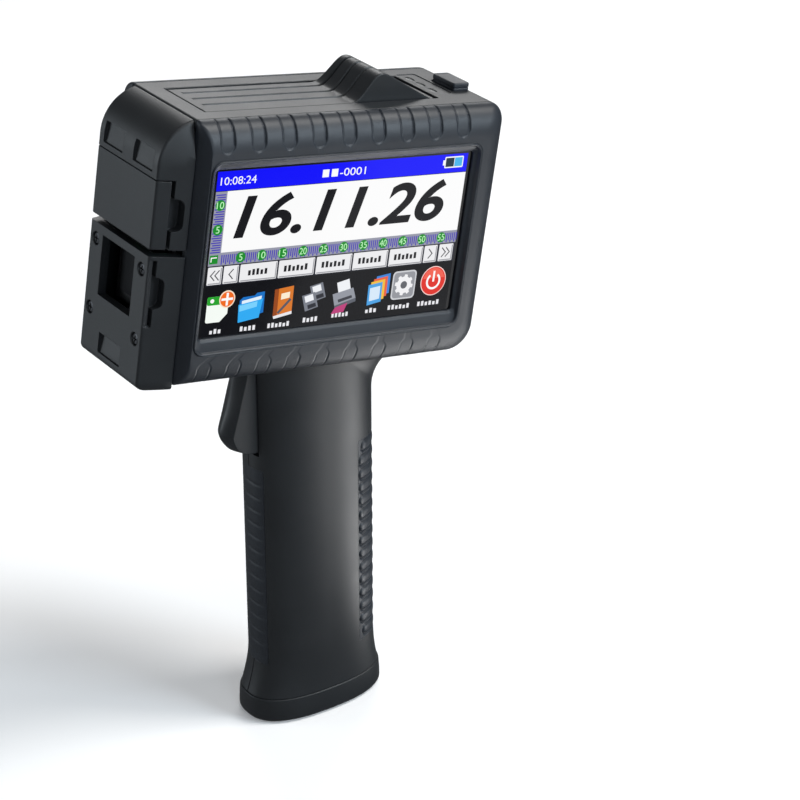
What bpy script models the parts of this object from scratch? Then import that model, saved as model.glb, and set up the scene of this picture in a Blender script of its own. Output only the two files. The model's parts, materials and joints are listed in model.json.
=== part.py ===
"""Handheld date-code inkjet printer: a box-shaped head with a touch screen, on a pistol grip.

Blender 4.5, metres, +Z up. The origin is the centre of the flat underside of the grip, on which
the printer stands. +X points to the rear, away from the print nose, and -Y is the screen side.
Sizes below are in millimetres and become metres as each mesh is made.
"""

import math

import bmesh
import bpy
from mathutils import Matrix, Vector

MM = 0.001
GAP = 0.3                      # clearance between neighbouring pieces
FIT = 0.06                     # radial clearance of a pin in its hole

# The head is built level in its own frame, centred on the screen, then pitched nose-up.
HEAD_PITCH = 9.2               # degrees
HEAD_CENTRE = (-1.2, 0.0, 181.5)
NOSE_X = -65.6                 # flat end face of the nose
NOSE_BACK_X = -54.9            # rear edge of the nose pieces
FRAME_X = -54.6                # front edge of bezel, main frame and back cover
REAR_X = 60.3
BOTTOM_Z = -43.0
DECK_Z = 42.5
FRAME_Y = 19.0                 # half depth of the main frame
COVER_Y = 19.3                 # where bezel and back cover start
FRONT_Y = -25.6
BACK_Y = 27.0
WALL = 2.4
COVER_WALL = 2.6
END_RADII = (9.0, 5.0)         # rear corners of the head: bottom and top
FRONT_ROLL = (3.4, 7.6, 8.5, 9.5)   # how far the bezel's edges roll in: nose, rear, bottom, top
BACK_ROLL = (2.4, 8.0, 8.0, 8.0)
BACK_SCREWS = [(-43.0, -31.0), (48.0, -31.0), (-43.0, 31.0), (48.0, 31.0)]
VENT_COUNT = 6
VENT_HALF_X = 14.0
VENT_Z = -8.0
VENT_PITCH = 3.6
USB_HALF = (6.0, 2.8)          # socket in the rear end, half width and half height
JACK_Z = -18.0
JACK_R = 4.1

# Nose pieces, from the top down
NOSE_TOP_RADIUS = 14.5
NOSE_BOTTOM_Z = -45.2          # at the end face; the underside climbs from there to the frame's
NOSE_FLAT_Y = 18.0             # half width of the end face
NOSE_SIDE_Y = 21.6             # half width at the rear edge
SEAM_Z = 23.6                  # shroud above, door below
DOOR_BOTTOM_Z = 1.8
PLATE_TOP_Z = -0.4
DOOR_BACK_X = -60.9            # rear edge of the door's side flanges
CHEEK_X = -59.9                # front edge of the shroud's cheeks
NOTCH_DEPTH = 1.4
WINDOW_Y = 10.0
WINDOW_Z = (-22.8, -3.2)
WINDOW_DEPTH = 6.0
PLATE_SCREW_Y = 14.2
PLATE_SCREW_Z = (-28.6, -5.7)
PLATE_SEAT_DEPTH = 1.2
THUMB_POCKET_Z = (25.9, 32.3)  # pockets in the shroud, either side of the middle
THUMB_POCKET_Y = (3.3, 14.9)
PLATE_POCKET_Z = (-40.4, -34.3)
PLATE_POCKET_Y = 6.8

# Screen
GLASS_Y = -23.2
GLASS_BACK_Y = -21.7
RECESS = (-50.6, 50.0, -31.4, 30.4)      # x and z limits of the recess round the screen
RECESS_Y = -24.9
OPENING_X = 49.0
OPENING_Z = 28.4

# Cartridge lid
LID_X0 = -47.3
LID_Y = 12.2
LID_Z = 42.2
HUMP_CREST = (17.9, 51.2)
LID_AXIS = (38.0, 41.0)
KNUCKLE_R = 1.4
LID_PIN_R = 0.8
LID_PIN_Y = 14.0
LID_THICKNESS = 1.8
LID_GROOVES = (-4.6, 1.5, 7.6)

# Power button and lights on the deck
BUTTON_X = (50.3, 56.9)
BUTTON_Y = (-6.5, 5.9)
BUTTON_RISE = 2.4
BUTTON_DEPTH = 4.0
LIGHT_X = 43.9
LIGHT_Y = (-3.8, 2.8, 9.0)

# Grip, built upright about the origin
GRIP_X = 0.8                   # centre of the grip over the base
GRIP_HALF_X = 23.2
GRIP_HALF_Y = 13.8
GRIP_POWER = 2.5               # exponent of the superellipse section
GRIP_WALL = 2.2
CAP_TOP_Z = 9.5
GRIP_TOP_Z = 150.0
RIM_INSIDE_HEAD = 6.0          # how far the grip reaches into the head
GRIP_STATIONS = [              # height, extra half width in X and in Y
    (CAP_TOP_Z + GAP, 2.4, 0.6), (14.0, 1.5, 0.3), (19.0, 0.6, 0.1), (26.0, 0.0, 0.0), (60.0, 0.0, 0.0),
    (100.0, 0.0, 0.0), (126.0, 0.0, 0.0), (GRIP_TOP_Z, 0.0, 0.0)]
CAP_HALF_X = 26.6
CAP_HALF_Y = 14.9
CAP_FLOOR = 3.0
CAP_RINGS = ((0.0, 2.6), (0.35, 1.4), (1.1, 0.5), (2.6, 0.0), (6.0, 0.1), (CAP_TOP_Z, 0.75))   # height, inset
STRIP_DEPTH = 1.2
FRONT_STRIP = (-40, -20.9, 22.0, 98.0)   # x and z limits
REAR_STRIP = (12.9, 40, 23.0, 102.0)
GRIP_SCREWS = [(4.0, 89.0), (8.0, 119.0)]
BASE_SCREW_X = (-18.0, 18.0)
CELL_R = 9.4
BATTERY_Z = (9.0, 78.0)

# Trigger
TRIGGER_AXIS = (-17.5, 133.5)
TRIGGER_HALF_Y = 4.9
TRIGGER_PIN_R = 1.2
TRIGGER_PIN_Y = 9.4
TRIGGER_SLOT_Z = 103.2
SPRING_HALF_Y = 1.3
SPRING_R = 2.9

SHELL_BLACK = (0.030, 0.034, 0.038, 1.0)
RUBBER_BLACK = (0.036, 0.041, 0.047, 1.0)
DARK_GREY = (0.060, 0.064, 0.068, 1.0)


# ---------------------------------------------------------------- outlines

def fillet_outline(corners, steps=4):
    """Closed outline through corners (a, b, radius), each one rounded by an arc."""
    points = []
    for index, (a, b, radius) in enumerate(corners):
        here = Vector((a, b))
        if radius == 0:
            points.append((a, b))
            continue
        before = (Vector(corners[index - 1][:2]) - here).normalized()
        after = (Vector(corners[(index + 1) % len(corners)][:2]) - here).normalized()
        half = before.angle(after) / 2
        centre = here + (before + after).normalized() * radius / math.sin(half)
        start = here + before * radius / math.tan(half) - centre
        end = here + after * radius / math.tan(half) - centre
        first = math.atan2(start.y, start.x)
        turn = math.atan2(end.y, end.x) - first
        turn = (turn + math.pi) % (2 * math.pi) - math.pi
        for step in range(steps + 1):
            angle = first + turn * step / steps
            points.append((centre.x + radius * math.cos(angle), centre.y + radius * math.sin(angle)))
    return points


def rectangle(a0, a1, b0, b1, radius=0.0, steps=3):
    """Rectangle outline, with one corner radius or four of them (a0b0, a1b0, a1b1, a0b1)."""
    radii = radius if isinstance(radius, tuple) else (radius,) * 4
    places = ((a0, b0), (a1, b0), (a1, b1), (a0, b1))
    return fillet_outline([(a, b, r) for (a, b), r in zip(places, radii)], steps)


def circle(a, b, radius, count=16):
    """Points of a circle."""
    return [(a + radius * math.cos(2 * math.pi * k / count),
             b + radius * math.sin(2 * math.pi * k / count)) for k in range(count)]


def superellipse(centre_x, half_x, half_y, z, count=40, power=GRIP_POWER):
    """One ring of the grip's section."""
    ring = []
    for k in range(count):
        angle = 2 * math.pi * (k + 0.5) / count
        c, s = math.cos(angle), math.sin(angle)
        x = centre_x + half_x * math.copysign(abs(c) ** (2 / power), c)
        y = half_y * math.copysign(abs(s) ** (2 / power), s)
        ring.append((x, y, z))
    return ring


# ---------------------------------------------------------------- meshes

def new_object(name, mesh_builder):
    """Make an object whose mesh was built in millimetres, with its faces pointing out."""
    bmesh.ops.recalc_face_normals(mesh_builder, faces=mesh_builder.faces)
    bmesh.ops.scale(mesh_builder, vec=(MM, MM, MM), verts=mesh_builder.verts)
    mesh = bpy.data.meshes.new(name)
    mesh_builder.to_mesh(mesh)
    mesh_builder.free()
    obj = bpy.data.objects.new(name, mesh)
    bpy.context.scene.collection.objects.link(obj)
    return obj


def loft(name, rings):
    """Closed solid through rings that have the same number of points."""
    builder = bmesh.new()
    made = [[builder.verts.new(point) for point in ring] for ring in rings]
    for lower, upper in zip(made, made[1:]):
        for k in range(len(lower)):
            after = (k + 1) % len(lower)
            builder.faces.new((lower[k], lower[after], upper[after], upper[k]))
    builder.faces.new(made[0])
    builder.faces.new(made[-1])
    return new_object(name, builder)


def prism(name, outline, axis, low, high):
    """Extrude an outline along an axis. The outline holds the other two coordinates in order."""
    place = {"X": lambda a, b, t: (t, a, b), "Y": lambda a, b, t: (a, t, b),
             "Z": lambda a, b, t: (a, b, t)}[axis]
    return loft(name, [[place(a, b, t) for a, b in outline] for t in (low, high)])


def block(name, low, high):
    """Box between two corners."""
    return prism(name, rectangle(low[0], high[0], low[1], high[1]), "Z", low[2], high[2])


def boolean(obj, tool, operation):
    """Combine obj with tool, then delete the tool."""
    step = obj.modifiers.new(operation, "BOOLEAN")
    step.operation = operation
    step.solver = "EXACT"
    step.object = tool
    graph = bpy.context.evaluated_depsgraph_get()
    result = bpy.data.meshes.new_from_object(obj.evaluated_get(graph))
    obj.modifiers.clear()
    obj.data = result
    bpy.data.objects.remove(tool, do_unlink=True)
    return obj


def cut(obj, *tools):
    """Take the tools away from obj."""
    for tool in tools:
        boolean(obj, tool, "DIFFERENCE")
    return obj


def join(obj, *tools):
    """Add the tools to obj."""
    for tool in tools:
        boolean(obj, tool, "UNION")
    return obj


def keep(obj, tool):
    """Keep only what obj shares with the tool."""
    return boolean(obj, tool, "INTERSECT")


def material(name, colour, roughness, metallic=0.0):
    """Principled material, made once for each name."""
    found = bpy.data.materials.get(name)
    if found:
        return found
    made = bpy.data.materials.new(name)
    made.use_nodes = True
    shader = made.node_tree.nodes["Principled BSDF"]
    shader.inputs["Base Color"].default_value = colour
    shader.inputs["Roughness"].default_value = roughness
    shader.inputs["Metallic"].default_value = metallic
    return made


def finish(obj, look, frame=None, origin=(0.0, 0.0, 0.0)):
    """Give the object its material, its frame and an origin, such as a point on its joint axis."""
    place = Vector(origin) * MM
    obj.data.transform(Matrix.Translation(-place))
    obj.data.materials.clear()
    obj.data.materials.append(look)
    obj.data.shade_smooth()
    obj.data.set_sharp_from_angle(angle=math.radians(35))
    obj.location = place
    obj.parent = frame
    return obj


def screw(name, axis, a, b, low, high, head_radius, head_height, shank_radius):
    """Plain screw along an axis, from the top of its head at low to its tip at high."""
    towards = 1 if high > low else -1
    body = prism(name, circle(a, b, head_radius, 12), axis, low, low + towards * head_height)
    shank_low = low + towards * head_height * 0.5
    return join(body, prism("shank", circle(a, b, shank_radius, 8), axis, shank_low, high))


# ---------------------------------------------------------------- head shells

def cover_rings(start_y, end_y, roll, steps=6):
    """Rings of a cover whose edges roll over from start_y to the flat face at end_y."""
    nose_roll, rear_roll, bottom_roll, top_roll = roll
    rings = []
    for step in range(steps + 1):
        angle = math.radians(90 * step / steps)
        inward = 1 - math.cos(angle)
        y = start_y + (end_y - start_y) * math.sin(angle)
        x0 = FRAME_X + nose_roll * inward
        x1 = REAR_X - rear_roll * inward
        z0 = BOTTOM_Z + bottom_roll * inward
        z1 = DECK_Z - top_roll * inward
        bottom, top = (radius * (1 - 0.45 * inward) for radius in END_RADII)
        outline = rectangle(x0, x1, z0, z1, (1.0, bottom, top, 1.0), 4)
        rings.append([(x, y, z) for x, z in outline])
    return rings


def inner_outline(inset):
    """Outline of the cavity behind bezel and back cover."""
    bottom, top = (radius - WALL for radius in END_RADII)
    return rectangle(FRAME_X + inset, REAR_X - inset, BOTTOM_Z + inset, DECK_Z - inset,
                     (0.6, bottom, top, 0.6), 4)


def front_bezel():
    """Frame round the screen, with a recess in front of the glass."""
    bezel = loft("front_bezel", cover_rings(-COVER_Y, FRONT_Y, FRONT_ROLL))
    cut(bezel,
        prism("cavity", inner_outline(COVER_WALL), "Y", GLASS_Y - GAP, -COVER_Y + 1),
        prism("recess", rectangle(*RECESS, 4.0), "Y", FRONT_Y - 1, RECESS_Y),
        prism("opening", rectangle(-OPENING_X, OPENING_X, -OPENING_Z, OPENING_Z, 1.0), "Y",
              FRONT_Y - 1, GLASS_Y + 1))
    return bezel


def back_cover():
    """Shallow tray that closes the far side, with a row of vent slots and four screw holes."""
    cover = loft("back_cover", cover_rings(COVER_Y, BACK_Y, BACK_ROLL))
    cut(cover, prism("cavity", inner_outline(COVER_WALL), "Y", COVER_Y - 1, BACK_Y - COVER_WALL))
    for x, z in BACK_SCREWS:
        cut(cover, prism("hole", circle(x, z, 1.7, 10), "Y", COVER_Y, BACK_Y + 1),
            prism("seat", circle(x, z, 3.2, 12), "Y", BACK_Y - 1.4, BACK_Y + 1))
    for row in range(VENT_COUNT):
        z = VENT_Z + row * VENT_PITCH
        outline = rectangle(-VENT_HALF_X, VENT_HALF_X, z - 0.8, z + 0.8, 0.7, 2)
        cut(cover, prism("vent", outline, "Y", COVER_Y, BACK_Y + 1))
    return cover


def main_frame():
    """C-shaped middle shell: deck, rear end and underside, open towards the nose."""
    outline = rectangle(FRAME_X, REAR_X, BOTTOM_Z, DECK_Z, (1.0, *END_RADII, 1.0), 4)
    frame = prism("main_frame", outline, "Y", -FRAME_Y, FRAME_Y)
    bottom, top = (radius - WALL for radius in END_RADII)
    inside = rectangle(FRAME_X - 5, REAR_X - WALL, BOTTOM_Z + WALL, DECK_Z - WALL, (0.5, bottom, top, 0.5), 4)
    axis_x, axis_z = LID_AXIS
    usb_y, usb_z = (half + GAP for half in USB_HALF)
    cut(frame,
        prism("inside", inside, "Y", -FRAME_Y - 1, FRAME_Y + 1),
        block("lid_opening", (LID_X0 - GAP, -LID_Y - GAP, DECK_Z - 6),
              (axis_x + KNUCKLE_R + 0.5, LID_Y + GAP, DECK_Z + 4)),
        prism("pin_hole", circle(axis_x, axis_z, LID_PIN_R + FIT, 12), "Y",
              -LID_PIN_Y - 0.2, LID_PIN_Y + 0.2),
        block("button_hole", (BUTTON_X[0] - GAP, BUTTON_Y[0] - GAP, DECK_Z - 6),
              (BUTTON_X[1] + GAP, BUTTON_Y[1] + GAP, DECK_Z + 4)),
        prism("usb_hole", rectangle(-usb_y, usb_y, -usb_z, usb_z, 0.4, 2), "X", REAR_X - 6, REAR_X + 2),
        prism("jack_hole", circle(0.0, JACK_Z, JACK_R + GAP, 16), "X", REAR_X - 6, REAR_X + 2))
    for y in LIGHT_Y:
        cut(frame, prism("light_hole", light_outline(y, 0.1), "Z", DECK_Z - 6, DECK_Z + 2))
    cut(frame, grip_in_head_frame("socket", GRIP_HALF_X + GAP, GRIP_HALF_Y + GAP, 120.0, 165.0))
    return frame


def light_outline(y, extra=0.0):
    """Lens shape, pointed towards both sides and 4 mm long."""
    half, bulge, steps = 2.2 + extra, 0.95 + extra, 4
    ahead = [(LIGHT_X + bulge * math.sin(math.pi * k / steps), y - half + 2 * half * k / steps)
             for k in range(steps)]
    behind = [(LIGHT_X - bulge * math.sin(math.pi * k / steps), y + half - 2 * half * k / steps)
              for k in range(steps)]
    return ahead + behind


def nose_solid(name, inset=0.0):
    """The nose as one solid, longer than the nose pieces: its side view cut to its plan view."""
    back = NOSE_BACK_X + 10.0
    climb = (BOTTOM_Z - NOSE_BOTTOM_Z) / (NOSE_BACK_X - NOSE_X)
    side = fillet_outline([
        (back, BOTTOM_Z + 10.0 * climb + inset, 0), (back, DECK_Z - inset, 0),
        (NOSE_X + inset, DECK_Z - inset, NOSE_TOP_RADIUS - inset),
        (NOSE_X + inset, NOSE_BOTTOM_Z + inset, 2.8 - inset)], 8)
    flat, wide = NOSE_FLAT_Y - inset, NOSE_SIDE_Y - inset
    slope = (wide - flat) / (NOSE_BACK_X - NOSE_X) * (back - NOSE_X)
    plan = fillet_outline([(back, -flat - slope, 0), (back, flat + slope, 0), (NOSE_X + inset, flat, 1.6),
                           (NOSE_X + inset, -flat, 1.6)], 3)
    solid = prism(name, side, "Y", -30, 30)
    return keep(solid, prism("plan", plan, "Z", -60, 60))


def nose_slice(name, low, high):
    """Shell of the nose between two levels, open at its rear."""
    piece = keep(nose_solid(name), block("slab", (-80, -40, low), (NOSE_BACK_X, 40, high)))
    return cut(piece, nose_solid("hollow", 2.0))


def side_cut(name, side, outline):
    """Cutter for a shallow shape in one side of the nose: side -1 is the screen side, +1 the far side."""
    low, high = sorted((side * (side_y(outline) - NOTCH_DEPTH), side * 30.0))
    return prism(name, outline, "Y", low, high)


def side_y(outline):
    """Half width of the nose at the front edge of an outline."""
    front = min(x for x, z in outline)
    share = (front - NOSE_X) / (NOSE_BACK_X - NOSE_X)
    return NOSE_FLAT_Y + (NOSE_SIDE_Y - NOSE_FLAT_Y) * share


def nose_shroud():
    """Rounded top corner and two cheeks behind the door, with finger pockets that deepen upwards."""
    shroud = nose_slice("nose_shroud", DOOR_BOTTOM_Z, DECK_Z + 1)
    cut(shroud, block("door_space", (-80, -40, -10), (CHEEK_X, 40, SEAM_Z + GAP)))
    notch = fillet_outline([(CHEEK_X - 1, 7.3, 0), (-56.6, 8.2, 2.0), (-56.6, 17.6, 2.0),
                            (CHEEK_X - 1, 18.4, 0)], 3)
    for side in (-1, 1):
        low, high = sorted(side * y for y in THUMB_POCKET_Y)
        cut(shroud, thumb_wedge(THUMB_POCKET_Z, low, high), side_cut("notch", side, notch))
    return shroud


def thumb_wedge(levels, low_y, high_y):
    """Cutter for a pocket in the end face that is flush at its lower edge and deepens upwards."""
    bottom, top = levels
    outline = [(NOSE_X - 3, bottom), (NOSE_X + 0.1, bottom), (NOSE_X + 1.5, top), (NOSE_X - 3, top)]
    return prism("pocket", outline, "Y", low_y, high_y)


def nose_door():
    """Plain block that pulls off the front of the nose."""
    door = nose_slice("nose_door", DOOR_BOTTOM_Z, SEAM_Z)
    return cut(door, block("cheek_space", (DOOR_BACK_X, -40, -10), (0, 40, 40)))


def nozzle_plate():
    """Lower nose piece, with the print window, four screw holes and a finger pocket."""
    plate = nose_slice("nozzle_plate", NOSE_BOTTOM_Z - 1, PLATE_TOP_Z)
    through = (NOSE_X - 2, NOSE_X + WINDOW_DEPTH)
    cut(plate, thumb_wedge(PLATE_POCKET_Z, -PLATE_POCKET_Y, PLATE_POCKET_Y),
        prism("window", rectangle(-WINDOW_Y, WINDOW_Y, *WINDOW_Z), "X", *through))
    for y, z in plate_screw_places():
        cut(plate, prism("hole", circle(y, z, 1.3, 12), "X", *through),
            prism("seat", circle(y, z, 2.1, 16), "X", NOSE_X - 2, NOSE_X + PLATE_SEAT_DEPTH))
    slit = rectangle(-63.9, -63.0, -23.2, -1.8, 0.3, 2)
    notch = fillet_outline([(-63.6, -17.8, 0), (-60.2, -16.8, 2.0), (-60.2, -7.8, 2.0), (-63.6, -6.8, 0)], 3)
    for side in (-1, 1):
        cut(plate, side_cut("slit", side, slit), side_cut("notch", side, notch))
    return plate


def plate_screw_places():
    """The four corners of the nozzle plate's screw pattern."""
    return [(side * PLATE_SCREW_Y, z) for z in PLATE_SCREW_Z for side in (-1, 1)]


# ---------------------------------------------------------------- lid, button, lights

def hump_profile(offset):
    """Side view of the hump: a concave rise, a rounded crest and a straight fall to the hinge."""
    crest_x, crest_z = HUMP_CREST
    rise_x = 6.8 + offset * 1.6
    low_z = LID_Z - offset
    top = crest_z - offset
    points = []
    for step in range(7):
        part = step / 6
        ease = part ** 1.9 / (part ** 1.9 + (1 - part) ** 1.35)
        points.append((rise_x + (crest_x - 1.6 - rise_x) * part, low_z + (top - low_z) * ease))
    points += [(crest_x - 0.2, top + 0.15), (crest_x + 1.4, top - 0.35)]
    points.append((LID_AXIS[0] - 0.7 - offset * 2.6, low_z))
    return points


def cartridge_lid():
    """Grooved deck panel and finger hump in one piece, with a hinge knuckle at its rear edge."""
    under = LID_Z - LID_THICKNESS
    axis_x, axis_z = LID_AXIS
    outline = [(LID_X0, under), (LID_X0, LID_Z)] + hump_profile(0.0)
    outline += [(axis_x - 0.2, under)]
    lid = prism("cartridge_lid", outline, "Y", -LID_Y, LID_Y)
    hollow = [(9.0, under - 1)] + hump_profile(1.7)[1:-1] + [(31.5, under), (31.5, under - 1)]
    cut(lid, prism("hump_hollow", hollow, "Y", -LID_Y + 1.5, LID_Y - 1.5))
    join(lid, prism("knuckle", circle(axis_x, axis_z, KNUCKLE_R, 16), "Y", -LID_Y, LID_Y))
    cut(lid, prism("pin_bore", circle(axis_x, axis_z, LID_PIN_R + FIT, 12), "Y", -LID_Y - 1, LID_Y + 1))
    for y in LID_GROOVES:
        cut(lid, block("groove", (LID_X0 + 4.5, y - 0.45, LID_Z - 0.5), (4.0, y + 0.45, LID_Z + 1)))
    return lid


def power_button():
    """Rectangular key with a flange that keeps it under the deck."""
    x0, x1 = BUTTON_X
    y0, y1 = BUTTON_Y
    key = prism("power_button", rectangle(x0, x1, y0, y1, 1.0), "Z",
                DECK_Z - BUTTON_DEPTH, DECK_Z + BUTTON_RISE)
    flange = block("flange", (x0 - 1.2, y0 - 1.2, DECK_Z - BUTTON_DEPTH - 0.9),
                   (x1, y1 + 1.2, DECK_Z - WALL - 1.3))
    return join(key, flange)


# ---------------------------------------------------------------- inside the head

def bay_tray():
    """Open tray that holds the cartridge between the boards."""
    tray = block("cartridge_bay", (-52.8, -12.4, -30.2), (20.0, 12.4, 36.0))
    return cut(tray, block("space", (-60.0, -10.5, -28.4), (18.2, 10.5, 50.0)))


def cartridge_body():
    """Flat ink tank with a snout low at the nose."""
    outline = fillet_outline([(-51.5, -27.9, 2.0), (13.0, -27.9, 9.0), (13.0, 31.5, 2.0),
                              (-51.5, 31.5, 15.0)], 5)
    body = prism("cartridge_body", outline, "Y", -10.0, 10.0)
    return join(body, prism("snout", rectangle(-59.4, -50.0, -24.0, -2.0, 1.0, 2), "Y", -9.2, 9.2))


def cartridge_cap():
    """Rear top cap of the tank, with the pull tab that stands up inside the hump."""
    outline = [(-6.0, 31.9), (13.0, 31.9), (13.6, 35.4), (21.0, 45.0), (15.4, 45.8), (10.2, 38.0),
               (-6.0, 35.4)]
    return prism("cartridge_cap", outline, "Y", -9.6, 9.6)


def leaf_spring():
    """Bowed strip between the tray's rear wall and the tank."""
    thickness, steps = 0.5, 8
    outer, inner = [], []
    for step in range(steps + 1):
        part = step / steps
        x = 17.8 - 3.6 * math.sin(math.pi * part)
        z = -14.0 + 30.0 * part
        outer.append((x, z))
        inner.append((x - thickness, z))
    return prism("cartridge_spring", outer + inner[::-1], "Y", -5.0, 5.0)


def usb_socket():
    """Hollow metal socket in the rear end."""
    y, z = USB_HALF
    socket = prism("usb_socket", rectangle(-y, y, -z, z, 0.3, 2), "X", REAR_X - 13.0, REAR_X - GAP)
    return cut(socket, block("mouth", (REAR_X - 10.0, 0.5 - y, 0.5 - z), (REAR_X + 1, y - 0.5, z - 0.5)))


def power_jack():
    """Round charging socket with its centre pin."""
    jack = prism("power_jack", circle(0.0, JACK_Z, JACK_R, 16), "X", REAR_X - 13.0, REAR_X - GAP)
    cut(jack, prism("bore", circle(0.0, JACK_Z, JACK_R - 1.2, 16), "X", REAR_X - 10.0, REAR_X + 1))
    return join(jack, prism("centre_pin", circle(0.0, JACK_Z, 0.9, 8), "X", REAR_X - 11.0, REAR_X - 1.5))


def flat_board(name, low, high, radius=1.0):
    """Circuit board or plate parallel to the screen."""
    return prism(name, rectangle(low[0], high[0], low[2], high[2], radius, 2), "Y", low[1], high[1])


# ---------------------------------------------------------------- grip

def grip_loft(name, inset=0.0):
    """Solid of the grip's outer shape, inset all round."""
    rings = []
    for z, more_x, more_y in GRIP_STATIONS:
        centre = GRIP_X * min(1.0, (z - CAP_TOP_Z) / 12.0)
        rings.append(superellipse(centre, GRIP_HALF_X + more_x - inset, GRIP_HALF_Y + more_y - inset, z))
    if inset:
        rings[0] = [(x, y, z - 2.0) for x, y, z in rings[0]]
        rings[-1] = [(x, y, z + 8.0) for x, y, z in rings[-1]]
    return loft(name, rings)


def head_matrix():
    """From the head frame to the world, in millimetres."""
    return Matrix.Translation(HEAD_CENTRE) @ Matrix.Rotation(math.radians(HEAD_PITCH), 4, "Y")


def grip_in_head_frame(name, half_x, half_y, low, high):
    """Straight length of the grip's section, placed in the head's own frame."""
    back = head_matrix().inverted()
    rings = []
    for z in (low, high):
        ring = superellipse(GRIP_X, half_x, half_y, z)
        rings.append([tuple(back @ Vector(point)) for point in ring])
    return loft(name, rings)


def above_grip(name):
    """Everything above the slanted top edge of the grip, inside the head."""
    edge = BOTTOM_Z + RIM_INSIDE_HEAD
    matrix = head_matrix()
    low, high = (-90, -60, edge), (90, 60, edge + 80)
    outline = rectangle(low[0], high[0], low[1], high[1])
    rings = [[tuple(matrix @ Vector((x, y, z))) for x, y in outline] for z in (low[2], high[2])]
    return loft(name, rings)


def grip_shell(name, side):
    """One half of the hollow grip: side -1 is the screen side, +1 the far side."""
    shell = cut(grip_loft(name), grip_loft("hollow", GRIP_WALL), above_grip("head_space"))
    low, high = sorted((side * GAP / 2, side * 40))
    keep(shell, block("half", (-60, low, 0), (60, high, 200)))
    cut(shell, block("trigger_slot", (-40, -TRIGGER_HALF_Y - 0.4, TRIGGER_SLOT_Z),
                     (-8, TRIGGER_HALF_Y + 0.4, GRIP_TOP_Z + 4)))
    for low_x, high_x, bottom, top in (FRONT_STRIP, REAR_STRIP):
        slot = block("strip_slot", (low_x - (GAP if low_x > 0 else 0), -40, bottom - GAP),
                     (high_x + (GAP if high_x < 0 else 0), 40, top + GAP))
        cut(slot, grip_loft("core", STRIP_DEPTH + 0.2))
        cut(shell, slot)
    for x, z in GRIP_SCREWS:
        if side < 0:
            join(shell, prism("boss", circle(x, z, 3.0, 16), "Y", -GRIP_HALF_Y + 1.0, -1.0))
            cut(shell, prism("boss_hole", circle(x, z, 1.4, 12), "Y", -10.0, 1.0))
        else:
            cut(shell, prism("screw_hole", circle(x, z, 1.5, 12), "Y", 0.0, GRIP_HALF_Y + 2),
                prism("seat", circle(x, z, 2.6, 16), "Y", GRIP_HALF_Y - 1.2, GRIP_HALF_Y + 2))
    x, z = TRIGGER_AXIS
    cut(shell, prism("pin_hole", circle(x, z, TRIGGER_PIN_R + FIT, 12), "Y",
                     -TRIGGER_PIN_Y - 0.2, TRIGGER_PIN_Y + 0.2))
    return shell


def grip_strip(name, limits):
    """Rubber strip let into the front or the rear of the grip."""
    low_x, high_x, bottom, top = limits
    strip = cut(grip_loft(name), grip_loft("core", STRIP_DEPTH))
    return keep(strip, block("limits", (low_x, -40, bottom), (high_x, 40, top)))


def base_cap():
    """Flared foot that closes the grip and carries the battery."""
    rings = []
    for z, inset in CAP_RINGS:
        rings.append(superellipse(0.0, CAP_HALF_X - inset, CAP_HALF_Y - inset, z))
    cap = loft("base_cap", rings)
    hollow = [superellipse(0.0, CAP_HALF_X - 3.4, CAP_HALF_Y - 3.3, z) for z in (CAP_FLOOR, CAP_TOP_Z + 2)]
    cut(cap, loft("hollow", hollow))
    for x in BASE_SCREW_X:
        cut(cap, prism("hole", circle(x, 0.0, 1.3, 10), "Z", -1, 6),
            prism("seat", circle(x, 0.0, 2.8, 12), "Z", -1, 1.8))
    return cap


def battery_pack():
    """Two round cells side by side in one sleeve."""
    outline = rectangle(GRIP_X - 2 * CELL_R, GRIP_X + 2 * CELL_R, -CELL_R, CELL_R, CELL_R - 0.1, 4)
    return prism("battery_pack", outline, "Z", *BATTERY_Z)


# ---------------------------------------------------------------- trigger

def trigger():
    """Wedge-shaped trigger with a rounded front and a tail inside the grip."""
    outline = fillet_outline([
        (-27.9, 131.5, 0), (-30.4, 121.0, 0), (-33.2, 112.5, 3.6), (-29.0, 105.6, 3.0),
        (-22.6, 104.6, 1.0), (-19.0, 106.0, 1.5), (-14.6, 122.0, 2.0), (-14.2, 134.0, 3.0),
        (-17.5, 137.2, 3.0), (-26.6, 137.6, 2.0)], 3)
    lever = prism("trigger", outline, "Y", -TRIGGER_HALF_Y, TRIGGER_HALF_Y)
    x, z = TRIGGER_AXIS
    return cut(lever, prism("pin_bore", circle(x, z, TRIGGER_PIN_R + FIT, 12), "Y", -9, 9),
               prism("spring_room", circle(x, z, SPRING_R + 0.5, 12), "Y",
                     -SPRING_HALF_Y - GAP, SPRING_HALF_Y + GAP))


def trigger_spring():
    """Ring of the torsion spring's outer size, round the pin."""
    x, z = TRIGGER_AXIS
    return cut(prism("trigger_spring", circle(x, z, SPRING_R, 14), "Y", -SPRING_HALF_Y, SPRING_HALF_Y),
               prism("eye", circle(x, z, TRIGGER_PIN_R + 0.4, 14), "Y", -3, 3))


# ---------------------------------------------------------------- assembly

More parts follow.
